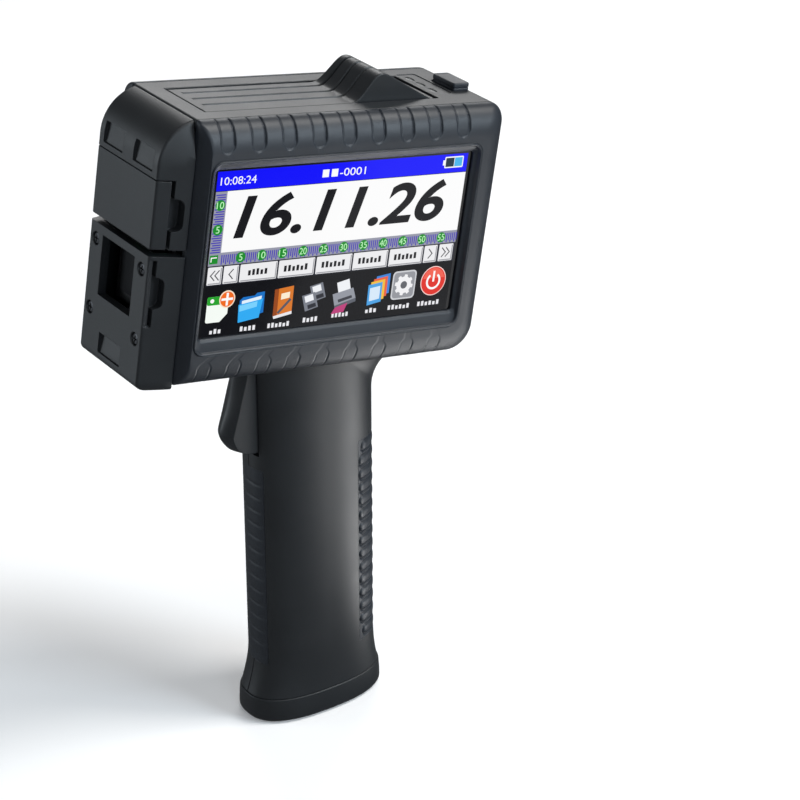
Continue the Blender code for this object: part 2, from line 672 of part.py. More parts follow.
def build():
    """Clear the scene and make every piece."""
    for obj in list(bpy.data.objects):
        bpy.data.objects.remove(obj, do_unlink=True)

    head = bpy.data.objects.new("head_frame", None)
    bpy.context.scene.collection.objects.link(head)
    head.location = Vector(HEAD_CENTRE) * MM
    head.rotation_euler = (0, math.radians(HEAD_PITCH), 0)

    shell = material("shell_plastic", SHELL_BLACK, 0.5)
    rubber = material("rubber", RUBBER_BLACK, 0.6)
    inner = material("inner_plastic", DARK_GREY, 0.6)
    steel = material("steel", (0.55, 0.56, 0.58, 1.0), 0.3, 1.0)
    dark_steel = material("dark_steel", (0.05, 0.05, 0.055, 1.0), 0.4, 1.0)
    board = material("circuit_board", (0.02, 0.12, 0.06, 1.0), 0.5)
    glass = material("screen_glass", (0.01, 0.01, 0.012, 1.0), 0.1)
    metal = material("plated_metal", (0.60, 0.60, 0.58, 1.0), 0.35, 1.0)
    ink = material("cartridge_plastic", (0.012, 0.012, 0.013, 1.0), 0.35)
    light = material("light_window", (0.02, 0.05, 0.03, 1.0), 0.25)
    sleeve = material("battery_sleeve", (0.03, 0.12, 0.35, 1.0), 0.35)

    finish(front_bezel(), rubber, head)
    finish(back_cover(), rubber, head)
    finish(main_frame(), shell, head)
    finish(nose_shroud(), shell, head)
    finish(nose_door(), shell, head, (DOOR_BACK_X, 0, (DOOR_BOTTOM_Z + SEAM_Z) / 2))
    finish(nozzle_plate(), shell, head)
    for number, (y, z) in enumerate(plate_screw_places(), 1):
        piece = screw(f"plate_screw_{number}", "X", y, z, NOSE_X + 0.35, NOSE_X + 8.0, 1.8, 0.65, 1.1)
        finish(piece, dark_steel, head)
    for number, (x, z) in enumerate(BACK_SCREWS, 1):
        piece = screw(f"back_screw_{number}", "Y", x, z, BACK_Y - 0.1, BACK_Y - 5.5, 2.9, 1.1, 1.4)
        finish(piece, dark_steel, head)

    axis_x, axis_z = LID_AXIS
    finish(cartridge_lid(), shell, head, (axis_x, 0, axis_z))
    pin = prism("lid_pin", circle(axis_x, axis_z, LID_PIN_R, 12), "Y", -LID_PIN_Y, LID_PIN_Y)
    finish(pin, steel, head)
    finish(power_button(), rubber, head, (sum(BUTTON_X) / 2, sum(BUTTON_Y) / 2, DECK_Z))
    for number, y in enumerate(LIGHT_Y, 1):
        window = prism(f"status_light_{number}", light_outline(y), "Z", DECK_Z - 4.0, DECK_Z - 0.4)
        finish(window, light, head)

    finish(flat_board("touch_glass", (-51.6, GLASS_Y, -30.6), (51.6, GLASS_BACK_Y, 30.6), 2.0), glass, head)
    finish(flat_board("screen_module", (-50.0, -21.4, -29.6), (50.0, -17.2, 29.6)), metal, head)
    finish(flat_board("main_board", (-46.0, -15.2, -34.0), (56.5, -13.6, 36.0)), board, head)
    finish(bay_tray(), inner, head)
    finish(cartridge_body(), ink, head)
    finish(cartridge_cap(), ink, head)
    nozzle = block("cartridge_nozzle", (-60.3, -6.0, -20.0), (-59.7, 6.0, -6.0))
    finish(nozzle, metal, head)
    finish(leaf_spring(), steel, head)
    contacts = block("contact_board", (-54.5, -9.8, 1.0), (-53.0, 9.8, 24.0))
    finish(contacts, board, head)
    finish(flat_board("driver_board", (-40.0, 14.0, -30.0), (50.0, 15.6, 30.0)), board, head)
    switch = block("power_switch", (50.6, -3.3, 34.0), (56.6, 2.7, DECK_Z - BUTTON_DEPTH - 1.9))
    finish(switch, metal, head)
    finish(prism("buzzer", circle(-30.0, 10.0, 6.0, 20), "Y", 16.0, 21.5), inner, head)
    finish(usb_socket(), metal, head)
    finish(power_jack(), dark_steel, head)

    finish(grip_shell("grip_shell_near", -1), shell)
    finish(grip_shell("grip_shell_far", 1), shell)
    finish(grip_strip("front_grip", FRONT_STRIP), rubber)
    finish(grip_strip("rear_grip", REAR_STRIP), rubber)
    finish(base_cap(), shell)
    for number, x in enumerate(BASE_SCREW_X, 1):
        finish(screw(f"base_screw_{number}", "Z", x, 0.0, 0.6, 7.5, 2.4, 1.0, 1.1), dark_steel)
    finish(battery_pack(), sleeve)
    for number, (x, z) in enumerate(GRIP_SCREWS, 1):
        piece = screw(f"grip_screw_{number}", "Y", x, z, GRIP_HALF_Y - 0.2, -8.0, 2.3, 0.8, 1.2)
        finish(piece, dark_steel)
    contact = block("battery_contact", (GRIP_X - 16.0, -8.0, 79.0), (GRIP_X + 16.0, 8.0, 80.6))
    finish(contact, board)

    x, z = TRIGGER_AXIS
    finish(trigger(), shell, None, (x, 0, z))
    finish(prism("trigger_pin", circle(x, z, TRIGGER_PIN_R, 12), "Y", -TRIGGER_PIN_Y, TRIGGER_PIN_Y), steel)
    finish(trigger_spring(), steel)
    finish(block("trigger_switch", (-12.1, -3.2, 111.0), (-6.0, 3.2, 123.6)), inner)


build()
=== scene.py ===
"""Looks for the handheld date-code inkjet printer.

Pieces are modelled in millimetres and become metres when they are placed. The head's axes are x to
the rear, y to the far side and z up out of the deck, centred on the screen. The grip uses the
frame's own axes. Sizes come from the CAD nodes where they can.
"""

import json
import math

import bmesh
import bpy
import numpy as np
from mathutils import Matrix, Vector


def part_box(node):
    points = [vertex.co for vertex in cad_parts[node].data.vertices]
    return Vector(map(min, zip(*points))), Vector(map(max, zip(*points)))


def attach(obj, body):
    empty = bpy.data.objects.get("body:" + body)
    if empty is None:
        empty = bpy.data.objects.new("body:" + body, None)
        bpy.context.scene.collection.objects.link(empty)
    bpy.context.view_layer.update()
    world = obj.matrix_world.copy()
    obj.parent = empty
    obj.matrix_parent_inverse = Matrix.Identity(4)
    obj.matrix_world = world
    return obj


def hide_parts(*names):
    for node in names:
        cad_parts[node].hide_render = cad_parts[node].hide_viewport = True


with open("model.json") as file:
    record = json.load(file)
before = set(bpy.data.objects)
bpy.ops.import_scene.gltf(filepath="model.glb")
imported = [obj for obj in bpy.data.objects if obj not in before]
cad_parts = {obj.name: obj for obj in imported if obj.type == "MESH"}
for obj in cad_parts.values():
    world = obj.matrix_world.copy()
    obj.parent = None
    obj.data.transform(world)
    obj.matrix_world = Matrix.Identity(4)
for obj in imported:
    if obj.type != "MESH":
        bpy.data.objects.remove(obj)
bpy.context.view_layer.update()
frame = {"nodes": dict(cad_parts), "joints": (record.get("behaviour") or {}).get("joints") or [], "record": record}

MM = 0.001
SHARP_ANGLE = 35                           # degrees, past which an edge is drawn sharp
RECORD = frame["record"]
SLOT_OF = {part["node"]: part["material_slot"] for part in RECORD["subparts"]}
BODY_OF = {node: body for body, nodes in RECORD["behaviour"]["bodies"].items() for node in nodes}
AXIS = {joint["name"]: Vector(joint["axis"]) for joint in frame["joints"]}


def head_axes():
    """From the head's axes to the frame's, in millimetres."""
    x, z = -AXIS["nose_door_pull"], -AXIS["power_button_press"]
    low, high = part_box("touch_glass")
    centre = (low + high) / (2 * MM)
    centre.y = 0.0
    return Matrix.Translation(centre) @ Matrix((x, z.cross(x), z)).transposed().to_4x4()


HEAD = head_axes()
GRIP = Matrix.Identity(4)


def size_of(node, axes=HEAD):
    """Lowest and highest corner of a CAD node along the given axes, in millimetres."""
    back = axes.inverted()
    points = np.array([back @ (v.co / MM) for v in frame["nodes"][node].data.vertices])
    return points.min(0), points.max(0)


def centre_of(node, axes=HEAD):
    """Middle of a CAD node along the given axes, in millimetres."""
    low, high = size_of(node, axes)
    return (low + high) / 2


# Head shells
(FRAME_X, FRONT_Y, BOTTOM_Z), (REAR_X, FRONT_SEAM_Y, DECK_Z) = size_of("front_bezel")
BACK_SEAM_Y, BACK_Y = size_of("back_cover")[0][1], size_of("back_cover")[1][1]
FRAME_Y = size_of("main_frame")[1][1]
(GLASS_X0, GLASS_Y, GLASS_Z0), (GLASS_X1, GLASS_BACK_Y, GLASS_Z1) = size_of("touch_glass")
WALL = 2.4
COVER_WALL = 2.6
END_RADII = (9.0, 5.0)                     # rear corners: bottom and top
FRONT_ROLL = (3.0, 7.6, 8.5, 9.5)          # nose, rear, bottom and top reach of the rolled edge
BACK_ROLL = (2.4, 8.0, 9.0, 9.7)
VENTS, VENT_Z, VENT_PITCH = 6, -8.0, 3.6
LONG, SHORT, TURN = 540, 50, 12            # points on the sides and corners of a cover's ring
ROLL_STEPS = 56
FIRST_RIB, RIB_PITCH, RIBS = -46.2, 11.05, 9
RIB_HALF, RIB_SOFT = 2.4, 0.3
RIB_TOP, RIB_BOTTOM = (33.2, 0.34, 0.44), (34.2, 0.09, 0.15)    # rounded end, depths of floor and groove
LIP = (-50.9, 50.5, -31.9, 30.7)
LIP_RADIUS = 3.6
OPENING = (-48.6, 48.4, -27.1, 27.8)

# Nose
(NOSE_X, _, DOOR_BOTTOM_Z), (NOSE_BACK_X, NOSE_SIDE_Y, _) = size_of("nose_shroud")
DOOR_BACK_X, SEAM_Z = size_of("nose_door")[1][0], size_of("nose_door")[1][2]
PLATE_TOP_Z = size_of("nozzle_plate")[1][2]
NOSE_BOTTOM_Z = -45.2                      # at the end face; the underside climbs from there
NOSE_FLAT_Y = 18.0
NOSE_TOP_RADIUS = 14.5
NOSE_BOTTOM_RADIUS = 2.8
NOSE_WALL = 3.0
CHEEK_X = -59.9
CHEEK_SLOPE = (NOSE_SIDE_Y - NOSE_FLAT_Y) / (NOSE_BACK_X - NOSE_X)
WINDOW = (-10.0, 10.0, -22.8, -3.2)

# Deck
LID_X0, LID_Y = size_of("cartridge_lid")[0][0], size_of("cartridge_lid")[1][1]
LID_Z, LID_THICKNESS = 42.2, 1.8
LID_AXIS = (38.0, 41.0)
LID_GROOVES = (-4.6, 1.5, 7.6)
HUMP = [(6.8, 42.2), (8.4, 42.75), (10.4, 44.6), (12.4, 47.2), (14.4, 49.8), (16.1, 51.1), (17.7, 51.35),
        (19.5, 50.9), (21.8, 49.85), (37.3, 42.2)]
HUMP_LEAN = 0.20                           # how far its far side leans in, per height
KNUCKLE_R, LID_PIN_R = 1.4, 0.8
PIN_FIT, DECK_GAP = 0.06, 0.3              # clearance round a pin, and round a part let into the deck
BUTTON = (50.3, 56.9, -6.5, 5.9)
BUTTON_RISE = 2.4
LIGHTS = ("status_light_1", "status_light_2", "status_light_3")

# Grip
GRIP_X, GRIP_HALF_X, GRIP_HALF_Y, GRIP_POWER = 0.8, 23.2, 13.8, 2.5
GRIP_WALL = 2.2
CAP_TOP_Z = 9.5
CAP_HALF_X, CAP_HALF_Y = 26.6, 14.9
FRONT_STRIP_X, FRONT_STRIP_Z = size_of("front_grip", GRIP)[1][0], (22.0, 98.0)
REAR_STRIP_X, REAR_STRIP_Z = size_of("rear_grip", GRIP)[0][0], (23.0, 102.0)
SLOT_Y, SLOT_Z = 5.3, 103.2
SCALLOP_TOP, SCALLOP_PITCH, SCALLOPS = 98.9, 5.2, 15
TRIGGER_AXIS = (-17.5, 133.5)
TRIGGER_HALF_Y = 4.9
TRIGGER_PIN_R = 1.2
FREE_Z, JOIN_Z = 110, 150                  # the shaft's points between these are stretched to the head

# Screen picture: u runs right and v down from its upper left corner
PICTURE = (95.04, 53.86)                   # drawing units
PICTURE_BOX = (-47.5, 27.0, 94.4, 53.8)    # left, top, width and height on the glass


# ---------------------------------------------------------------- outlines

def smooth(t):
    """Ease from 0 to 1."""
    t = np.clip(t, 0.0, 1.0)
    return t * t * (3 - 2 * t)


def fillet_outline(corners, steps=6):
    """Closed outline through corners (a, b, radius), each one rounded by an arc."""
    points = []
    for index, (a, b, radius) in enumerate(corners):
        here = Vector((a, b))
        if radius == 0:
            points.append((a, b))
            continue
        before = (Vector(corners[index - 1][:2]) - here).normalized()
        after = (Vector(corners[(index + 1) % len(corners)][:2]) - here).normalized()
        half = before.angle(after) / 2
        centre = here + (before + after).normalized() * radius / math.sin(half)
        start = here + before * radius / math.tan(half) - centre
        end = here + after * radius / math.tan(half) - centre
        first = math.atan2(start.y, start.x)
        turn = (math.atan2(end.y, end.x) - first + math.pi) % (2 * math.pi) - math.pi
        for step in range(steps + 1):
            angle = first + turn * step / steps
            points.append((centre.x + radius * math.cos(angle), centre.y + radius * math.sin(angle)))
    return points


def rectangle(a0, a1, b0, b1, radius=0.0, steps=5):
    """Rectangle outline with rounded corners."""
    return fillet_outline([(a0, b0, radius), (a1, b0, radius), (a1, b1, radius), (a0, b1, radius)], steps)


def circle(a, b, radius, count=32):
    """Points of a circle."""
    return [(a + radius * math.cos(2 * math.pi * k / count),
             b + radius * math.sin(2 * math.pi * k / count)) for k in range(count)]


def curve_through(points, steps=8):
    """Smooth open line through the points (Catmull-Rom)."""
    ends = [2 * np.array(points[0]) - points[1], *map(np.array, points),
            2 * np.array(points[-1]) - points[-2]]
    line = []
    for a, b, c, d in zip(ends, ends[1:], ends[2:], ends[3:]):
        for step in range(steps):
            t = step / steps
            line.append(0.5 * (2 * b + (c - a) * t + (2 * a - 5 * b + 4 * c - d) * t ** 2
                               + (3 * b - a - 3 * c + d) * t ** 3))
    return np.array(line + [ends[-2]])


# ---------------------------------------------------------------- meshes

def linked(name, data):
    """New object in the scene."""
    obj = bpy.data.objects.new(name, data)
    bpy.context.scene.collection.objects.link(obj)
    return obj


def edit(mesh, change):
    """Run change on the mesh's faces and points, and write the result back."""
    builder = bmesh.new()
    builder.from_mesh(mesh)
    change(builder)
    builder.to_mesh(mesh)
    builder.free()


def mesh_object(name, points, faces):
    """Object from points and faces, with its faces pointing out."""
    mesh = bpy.data.meshes.new(name)
    mesh.from_pydata([tuple(map(float, p)) for p in points], [], faces)
    edit(mesh, lambda builder: bmesh.ops.recalc_face_normals(builder, faces=builder.faces))
    return linked(name, mesh)


def loft(name, rings, closed=False):
    """Solid through rings of equal length: capped at both ends, or closed round on itself."""
    count = len(rings[0])
    faces = []
    for i in range(len(rings) if closed else len(rings) - 1):
        a, b = i * count, (i + 1) % len(rings) * count
        faces += [(a + k, a + (k + 1) % count, b + (k + 1) % count, b + k) for k in range(count)]
    if not closed:
        last = (len(rings) - 1) * count
        faces += [tuple(range(count)), tuple(range(last, last + count))]
    return mesh_object(name, np.concatenate([np.asarray(ring, float) for ring in rings]), faces)


def along(axis, outline, t):
    """Put an outline at t on an axis. The outline holds the other two coordinates in order."""
    a, b = np.asarray(outline, float).T
    t = np.full(len(a), float(t))
    return np.column_stack({"X": (t, a, b), "Y": (a, t, b), "Z": (a, b, t)}[axis])


def prism(name, outline, axis, low, high):
    """Extrude an outline along an axis."""
    return loft(name, [along(axis, outline, low), along(axis, outline, high)])


def soft_prism(name, outline_at, axis, low, high, edge, steps=4):
    """Prism with rounded rims. outline_at(inset) gives its outline drawn in by that much."""
    quarter = [math.radians(90 * k / steps) for k in range(steps + 1)]
    rings = [along(axis, outline_at(edge * (1 - math.sin(q))), low + edge * (1 - math.cos(q)))
             for q in quarter]
    rings += [along(axis, outline_at(edge * (1 - math.sin(q))), high - edge * (1 - math.cos(q)))
              for q in reversed(quarter)]
    return loft(name, rings)


def block(name, low, high):
    """Box between two corners."""
    return prism(name, rectangle(low[0], high[0], low[1], high[1]), "Z", low[2], high[2])


def applied(obj):
    """Make the object's modifiers part of its mesh."""
    graph = bpy.context.evaluated_depsgraph_get()
    result = bpy.data.meshes.new_from_object(obj.evaluated_get(graph))
    obj.modifiers.clear()
    obj.data = result
    return obj


def boolean(obj, tool, operation):
    """Combine obj with tool, then delete the tool."""
    step = obj.modifiers.new(operation, "BOOLEAN")
    step.operation = operation
    step.solver = "EXACT"
    step.object = tool
    applied(obj)
    bpy.data.objects.remove(tool, do_unlink=True)
    return obj


def cut(obj, *tools):
    """Take the tools away from obj."""
    for tool in tools:
        boolean(obj, tool, "DIFFERENCE")
    return obj


def join(obj, *tools):
    """Add the tools to obj."""
    for tool in tools:
        boolean(obj, tool, "UNION")
    return obj


def soften(obj, width, segments=2, angle=38):
    """Round the sharp edges."""
    bevel = obj.modifiers.new("soft_edges", "BEVEL")
    bevel.width = width
    bevel.segments = segments
    bevel.limit_method = "ANGLE"
    bevel.angle_limit = math.radians(angle)
    bevel.miter_outer = "MITER_ARC"
    return applied(obj)


def place(obj, node, axes=HEAD):
    """Put a piece in the frame in place of a CAD node, with that node's body, slot and look."""
    obj.data.transform(Matrix.Scale(MM, 4) @ axes)
    obj.data.materials.clear()
    obj.data.materials.append(LOOKS[SLOT_OF[node]])
    obj.data.shade_smooth()
    obj.data.set_sharp_from_angle(angle=math.radians(SHARP_ANGLE))
    flats = obj.modifiers.new("flat_faces", "WEIGHTED_NORMAL")
    flats.keep_sharp = True
    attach(obj, BODY_OF[node])
    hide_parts(node)
    return obj


# ---------------------------------------------------------------- materials

class Nodes:
    """Short calls for building one node material."""

    def __init__(self, name):
        self.material = bpy.data.materials.new(name)
        self.material.use_nodes = True
        self.tree = self.material.node_tree
        self.shader = self.tree.nodes["Principled BSDF"]
        self.where = self.add("ShaderNodeTexCoord").outputs["Object"]

    def add(self, kind, **settings):
        node = self.tree.nodes.new(kind)
        for key, value in settings.items():
            setattr(node, key, value)
        return node

    def link(self, source, target):
        self.tree.links.new(source, target)

    def noise(self, scale, detail=3.0, stretch=(1, 1, 1), distortion=0.0):
        """Noise over the piece. The scale is in features per metre."""
        mapping = self.add("ShaderNodeMapping")
        mapping.inputs["Scale"].default_value = stretch
        node = self.add("ShaderNodeTexNoise")
        node.inputs["Scale"].default_value = scale
        node.inputs["Detail"].default_value = detail
        node.inputs["Distortion"].default_value = distortion
        self.link(self.where, mapping.inputs["Vector"])
        self.link(mapping.outputs["Vector"], node.inputs["Vector"])
        return node.outputs["Fac"]

    def spread(self, value, low, high, to_low=0.0, to_high=1.0):
        """Map a value from one range to another."""
        node = self.add("ShaderNodeMapRange")
        for key, number in (("From Min", low), ("From Max", high), ("To Min", to_low), ("To Max", to_high)):
            node.inputs[key].default_value = number
        self.link(value, node.inputs["Value"])
        return node.outputs["Result"]

    def maths(self, operation, a, b):
        node = self.add("ShaderNodeMath", operation=operation)
        for socket, value in zip(node.inputs, (a, b)):
            if isinstance(value, (int, float)):
                socket.default_value = value
            else:
                self.link(value, socket)
        return node.outputs[0]

    def mix(self, factor, a, b):
        """Blend two colours, each a tuple or a socket."""
        node = self.add("ShaderNodeMix", data_type="RGBA")
        self.link(factor, node.inputs["Factor"])
        for socket, value in ((node.inputs["A"], a), (node.inputs["B"], b)):
            if isinstance(value, tuple):
                socket.default_value = (*value, 1.0)
            else:
                self.link(value, socket)
        return node.outputs["Result"]

    def edges(self, radius):
        """Rounded normal at the edges, and how strongly each point is an edge."""
        bevel = self.add("ShaderNodeBevel", samples=4)
        bevel.inputs["Radius"].default_value = radius
        true_normal = self.add("ShaderNodeNewGeometry").outputs["Normal"]
        dot = self.add("ShaderNodeVectorMath", operation="DOT_PRODUCT")
        self.link(bevel.outputs["Normal"], dot.inputs[0])
        self.link(true_normal, dot.inputs[1])
        return bevel.outputs["Normal"], self.spread(dot.outputs["Value"], 0.995, 0.86)

    def bump(self, height, distance, strength=1.0, normal=None):
        node = self.add("ShaderNodeBump")
        node.inputs["Distance"].default_value = distance
        node.inputs["Strength"].default_value = strength
        self.link(height, node.inputs["Height"])
        if normal:
            self.link(normal, node.inputs["Normal"])
        self.link(node.outputs["Normal"], self.shader.inputs["Normal"])

    def set(self, **values):
        for key, value in values.items():
            socket = self.shader.inputs[key.replace("_", " ")]
            if hasattr(value, "is_linked"):
                self.link(value, socket)
            else:
                socket.default_value = (*value, 1.0) if isinstance(value, tuple) else value
        return self.material


def tint(colour, factor):
    return tuple(min(1.0, c * factor) for c in colour)


def plastic(name, colour, roughness, grain=2600, depth=0.000014, wear_and_highlight_tint=2.2, specular=0.5):
    """Moulded plastic or rubber: spark-eroded grain, faint clouding and paler edges, part wear and part painted
    highlight.
    """
    n = Nodes(name)
    rounded, edge = n.edges(0.00035)
    fine, clouds, patches = n.noise(grain, 2.0), n.noise(60, 4.0), n.noise(320, 3.0)
    # The edges are painted paler in patches: partly wear, partly a painted edge highlight.
    wear_and_highlight_mask = n.maths("MULTIPLY", edge, n.spread(patches, 0.42, 0.62))
    base = n.mix(clouds, tint(colour, 0.84), tint(colour, 1.16))
    base = n.mix(n.maths("MULTIPLY", wear_and_highlight_mask, 0.5), base, tint(colour, wear_and_highlight_tint))
    rough = n.maths("ADD", n.spread(clouds, 0.3, 0.7, roughness - 0.03, roughness + 0.03),
                    n.spread(fine, 0.3, 0.7, -0.03, 0.03))
    n.bump(fine, depth, 0.8, rounded)
    return n.set(Base_Color=base, Roughness=n.maths("SUBTRACT", rough, n.maths("MULTIPLY", wear_and_highlight_mask, 0.08)),
                 Specular_IOR_Level=specular)


def metal(name, colour, roughness, grain=(1, 1, 14)):
    """Drawn or plated metal with fine streaks."""
    n = Nodes(name)
    rounded, edge = n.edges(0.0002)
    streaks, clouds = n.noise(900, 3.0, grain), n.noise(140, 3.0)
    base = n.mix(streaks, tint(colour, 0.82), tint(colour, 1.12))
    n.bump(streaks, 0.000006, 0.6, rounded)
    # The edges are painted paler: partly wear, partly a painted edge highlight.
    return n.set(Base_Color=n.mix(n.maths("MULTIPLY", edge, 0.5), base, tint(colour, 1.5)), Metallic=1.0,
                 Roughness=n.spread(clouds, 0.3, 0.7, roughness - 0.06, roughness + 0.08))


def circuit_board(name):
    """Green solder mask with raised tracks and tinned pads."""
    n = Nodes(name)
    cells = n.add("ShaderNodeTexVoronoi", distance="MANHATTAN", feature="F1")
    cells.inputs["Scale"].default_value = 260
    n.link(n.where, cells.inputs["Vector"])
    tracks = n.spread(cells.outputs["Distance"], 0.42, 0.5)
    pads = n.spread(cells.outputs["Distance"], 0.11, 0.08)
    base = n.mix(n.noise(90, 3.0), (0.012, 0.085, 0.035), (0.02, 0.12, 0.05))
    base = n.mix(n.maths("MULTIPLY", tracks, 0.6), base, (0.03, 0.19, 0.08))
    n.bump(tracks, 0.00004, 0.5)
    return n.set(Base_Color=n.mix(pads, base, (0.55, 0.53, 0.47)), Metallic=pads,
                 Roughness=n.spread(n.noise(400, 2.0), 0.3, 0.7, 0.32, 0.45))


def glossy(name, colour, roughness, specular=0.5, wrinkle=0.0):
    """Smooth sheet or film with faint smears."""
    n = Nodes(name)
    smears, dust = n.noise(38, 5.0, (1, 1, 2.2), 1.2), n.noise(5000, 2.0)
    base = n.mix(smears, tint(colour, 0.85), tint(colour, 1.2))
    if wrinkle:
        n.bump(n.noise(130, 4.0, (3, 3, 0.4)), wrinkle, 0.7)
    return n.set(Base_Color=base, Specular_IOR_Level=specular,
                 Roughness=n.maths("ADD", n.spread(smears, 0.35, 0.7, roughness, roughness + 0.07),
                                   n.spread(dust, 0.66, 0.74, 0.0, 0.12)))


def lit_picture():
    """The screen's picture: each shape's own colour gives light, under a clear glossy front."""
    n = Nodes("screen_picture")
    paint = n.add("ShaderNodeVertexColor", layer_name="Paint").outputs["Color"]
    smears = n.noise(38, 5.0, (1, 1, 2.2), 1.2)
    return n.set(Base_Color=(0.004, 0.004, 0.005), Emission_Color=paint, Emission_Strength=1.0,
                 Roughness=n.spread(smears, 0.35, 0.7, 0.05, 0.12), Specular_IOR_Level=0.15)


LOOKS = {
    "shell_plastic": plastic("shell_plastic_look", (0.0098, 0.0115, 0.0136), 0.45),
    "rubber": plastic("rubber_look", (0.0095, 0.0130, 0.0190), 0.47, 3200, 0.000018),
    "inner_plastic": plastic("inner_plastic_look", (0.055, 0.058, 0.062), 0.5),
    "cartridge_plastic": plastic("cartridge_plastic_look", (0.010, 0.010, 0.011), 0.32),
    "steel": metal("steel_look", (0.52, 0.53, 0.55), 0.28),
    "dark_steel": metal("dark_steel_look", (0.055, 0.056, 0.060), 0.38),
    "plated_metal": metal("plated_metal_look", (0.58, 0.57, 0.54), 0.33, (12, 1, 1)),
    "circuit_board": circuit_board("circuit_board_look"),
    "screen_glass": glossy("screen_glass_look", (0.004, 0.004, 0.005), 0.06, 0.35),
    "light_window": glossy("light_window_look", (0.006, 0.010, 0.008), 0.2),
    "battery_sleeve": glossy("battery_sleeve_look", (0.02, 0.10, 0.33), 0.28, 0.5, 0.00006),
}


# ---------------------------------------------------------------- head shells

def rounded_ring(x0, x1, z0, z1, radii, y):
    """Dense rounded rectangle at y, with the same count of points on each side every time."""
    corners = ((x0, z0, 1, 1), (x1, z0, -1, 1), (x1, z1, -1, -1), (x0, z1, 1, -1))
    arcs = []
    for index, ((x, z, to_x, to_z), radius) in enumerate(zip(corners, radii)):
        angles = np.radians(180 + 90 * index + 90 * np.linspace(0, 1, TURN))
        arcs.append(np.stack([x + radius * (to_x + np.cos(angles)), z + radius * (to_z + np.sin(angles))], 1))
    parts = []
    for index, count in enumerate((LONG, SHORT, LONG, SHORT)):
        side = np.linspace(arcs[index][-1], arcs[(index + 1) % 4][0], count + 2)[1:-1]
        parts += [arcs[index], side]
    return along("Y", np.concatenate(parts), y)


def channels(x, height, tip):
    """Finger channels as two shares: the floor between the grooves, and the fine groove on each side.

    Each channel ends in a half circle at tip, and its rear groove is the deeper one.
    """
    rib = FIRST_RIB + RIB_PITCH * np.clip(np.round((x - FIRST_RIB) / RIB_PITCH), 0, RIBS - 1)
    distance = np.hypot(x - rib, np.minimum(height - tip - RIB_HALF, 0))
    floor_share = smooth((RIB_HALF + RIB_SOFT / 2 - distance) / RIB_SOFT)
    side = smooth((height - tip - 1.0) / 2) * np.where(x > rib, 1.0, 0.6)
    return floor_share, side * np.exp(-((distance - RIB_HALF) / 0.26) ** 2)


def roll_rings(seam_y, face_y, roll, nose_slope=0.0, start=(0.5, 4)):
    """Rings of a cover's rolled edge from the seam to the flat face, with the channels pressed in.

    The nose side is a slope from nose_slope of the way up if that is given. The channels fade in
    between the two start angles.
    """
    rings = []
    for angle in np.radians(np.linspace(0, 90, ROLL_STEPS)):
        nose, rear, bottom, top = (reach * (1 - math.cos(angle)) for reach in roll)
        low, high = (radius * (0.55 + 0.45 * math.cos(angle)) for radius in END_RADII)
        if nose_slope:
            nose = roll[0] * max(0.0, (math.sin(angle) - nose_slope) / (1 - nose_slope)) ** 1.25
        ring = rounded_ring(FRAME_X + nose, REAR_X - rear, BOTTOM_Z + bottom, DECK_Z - top,
                            (1.0, low, high, 1.0), seam_y + (face_y - seam_y) * math.sin(angle))
        for sign, reach, (tip, depth, line) in ((1, roll[3], RIB_TOP), (-1, roll[2], RIB_BOTTOM)):
            out = Vector((0, math.sin(angle) / (face_y - seam_y), sign * math.cos(angle) / reach))
            turned = math.degrees(angle)
            fade = smooth((turned - start[0]) / (start[1] - start[0]))
            floor_share, groove = channels(ring[:, 0], sign * ring[:, 2], tip)
            amount = fade * (depth * (0.2 + 0.8 * smooth((turned - 40) / 30)) * floor_share + line * groove)
            ring = ring - amount[:, None] * np.array(out.normalized())
        rings.append(ring)
    return rings


def cavity_ring(y):
    """Inner edge of a cover's wall."""
    low, high = (radius - WALL for radius in END_RADII)
    return rounded_ring(FRAME_X + COVER_WALL, REAR_X - COVER_WALL, BOTTOM_Z + COVER_WALL,
                        DECK_Z - COVER_WALL, (0.6, low, high, 0.6), y)


def front_bezel():
    """Rolled, ribbed frame with a raised lip, sloping walls and a ledge round the glass."""
    def lip(grow, y):
        x0, x1, z0, z1 = LIP
        return rounded_ring(x0 - grow, x1 + grow, z0 - grow, z1 + grow, (LIP_RADIUS + grow,) * 4, y)

    def opening(grow, y):
        x0, x1, z0, z1 = OPENING
        return rounded_ring(x0 - grow, x1 + grow, z0 - grow, z1 + grow, (1.0 + grow,) * 4, y)

    rings = roll_rings(FRONT_SEAM_Y, FRONT_Y, FRONT_ROLL, 0.3)
    rings += [lip(grow, FRONT_Y + rise) for grow, rise in (
        (0.42, 0.0), (0.34, 0.16), (0.26, 0.16), (0.16, -0.1), (0.04, -0.3), (-0.12, -0.36), (-0.32, -0.34),
        (-0.5, -0.24), (-0.62, 0.0), (-0.8, 0.55))]
    rings += [opening(1.0, GLASS_Y - 1.4), opening(0.7, GLASS_Y - 1.2), opening(0.3, GLASS_Y - 0.85),
              opening(0.08, GLASS_Y - 0.72), opening(0.0, GLASS_Y - 0.5),
              opening(0.0, GLASS_Y - 0.05), cavity_ring(GLASS_Y - 0.05), cavity_ring(FRONT_SEAM_Y)]
    return loft("front_bezel_look", rings, closed=True)


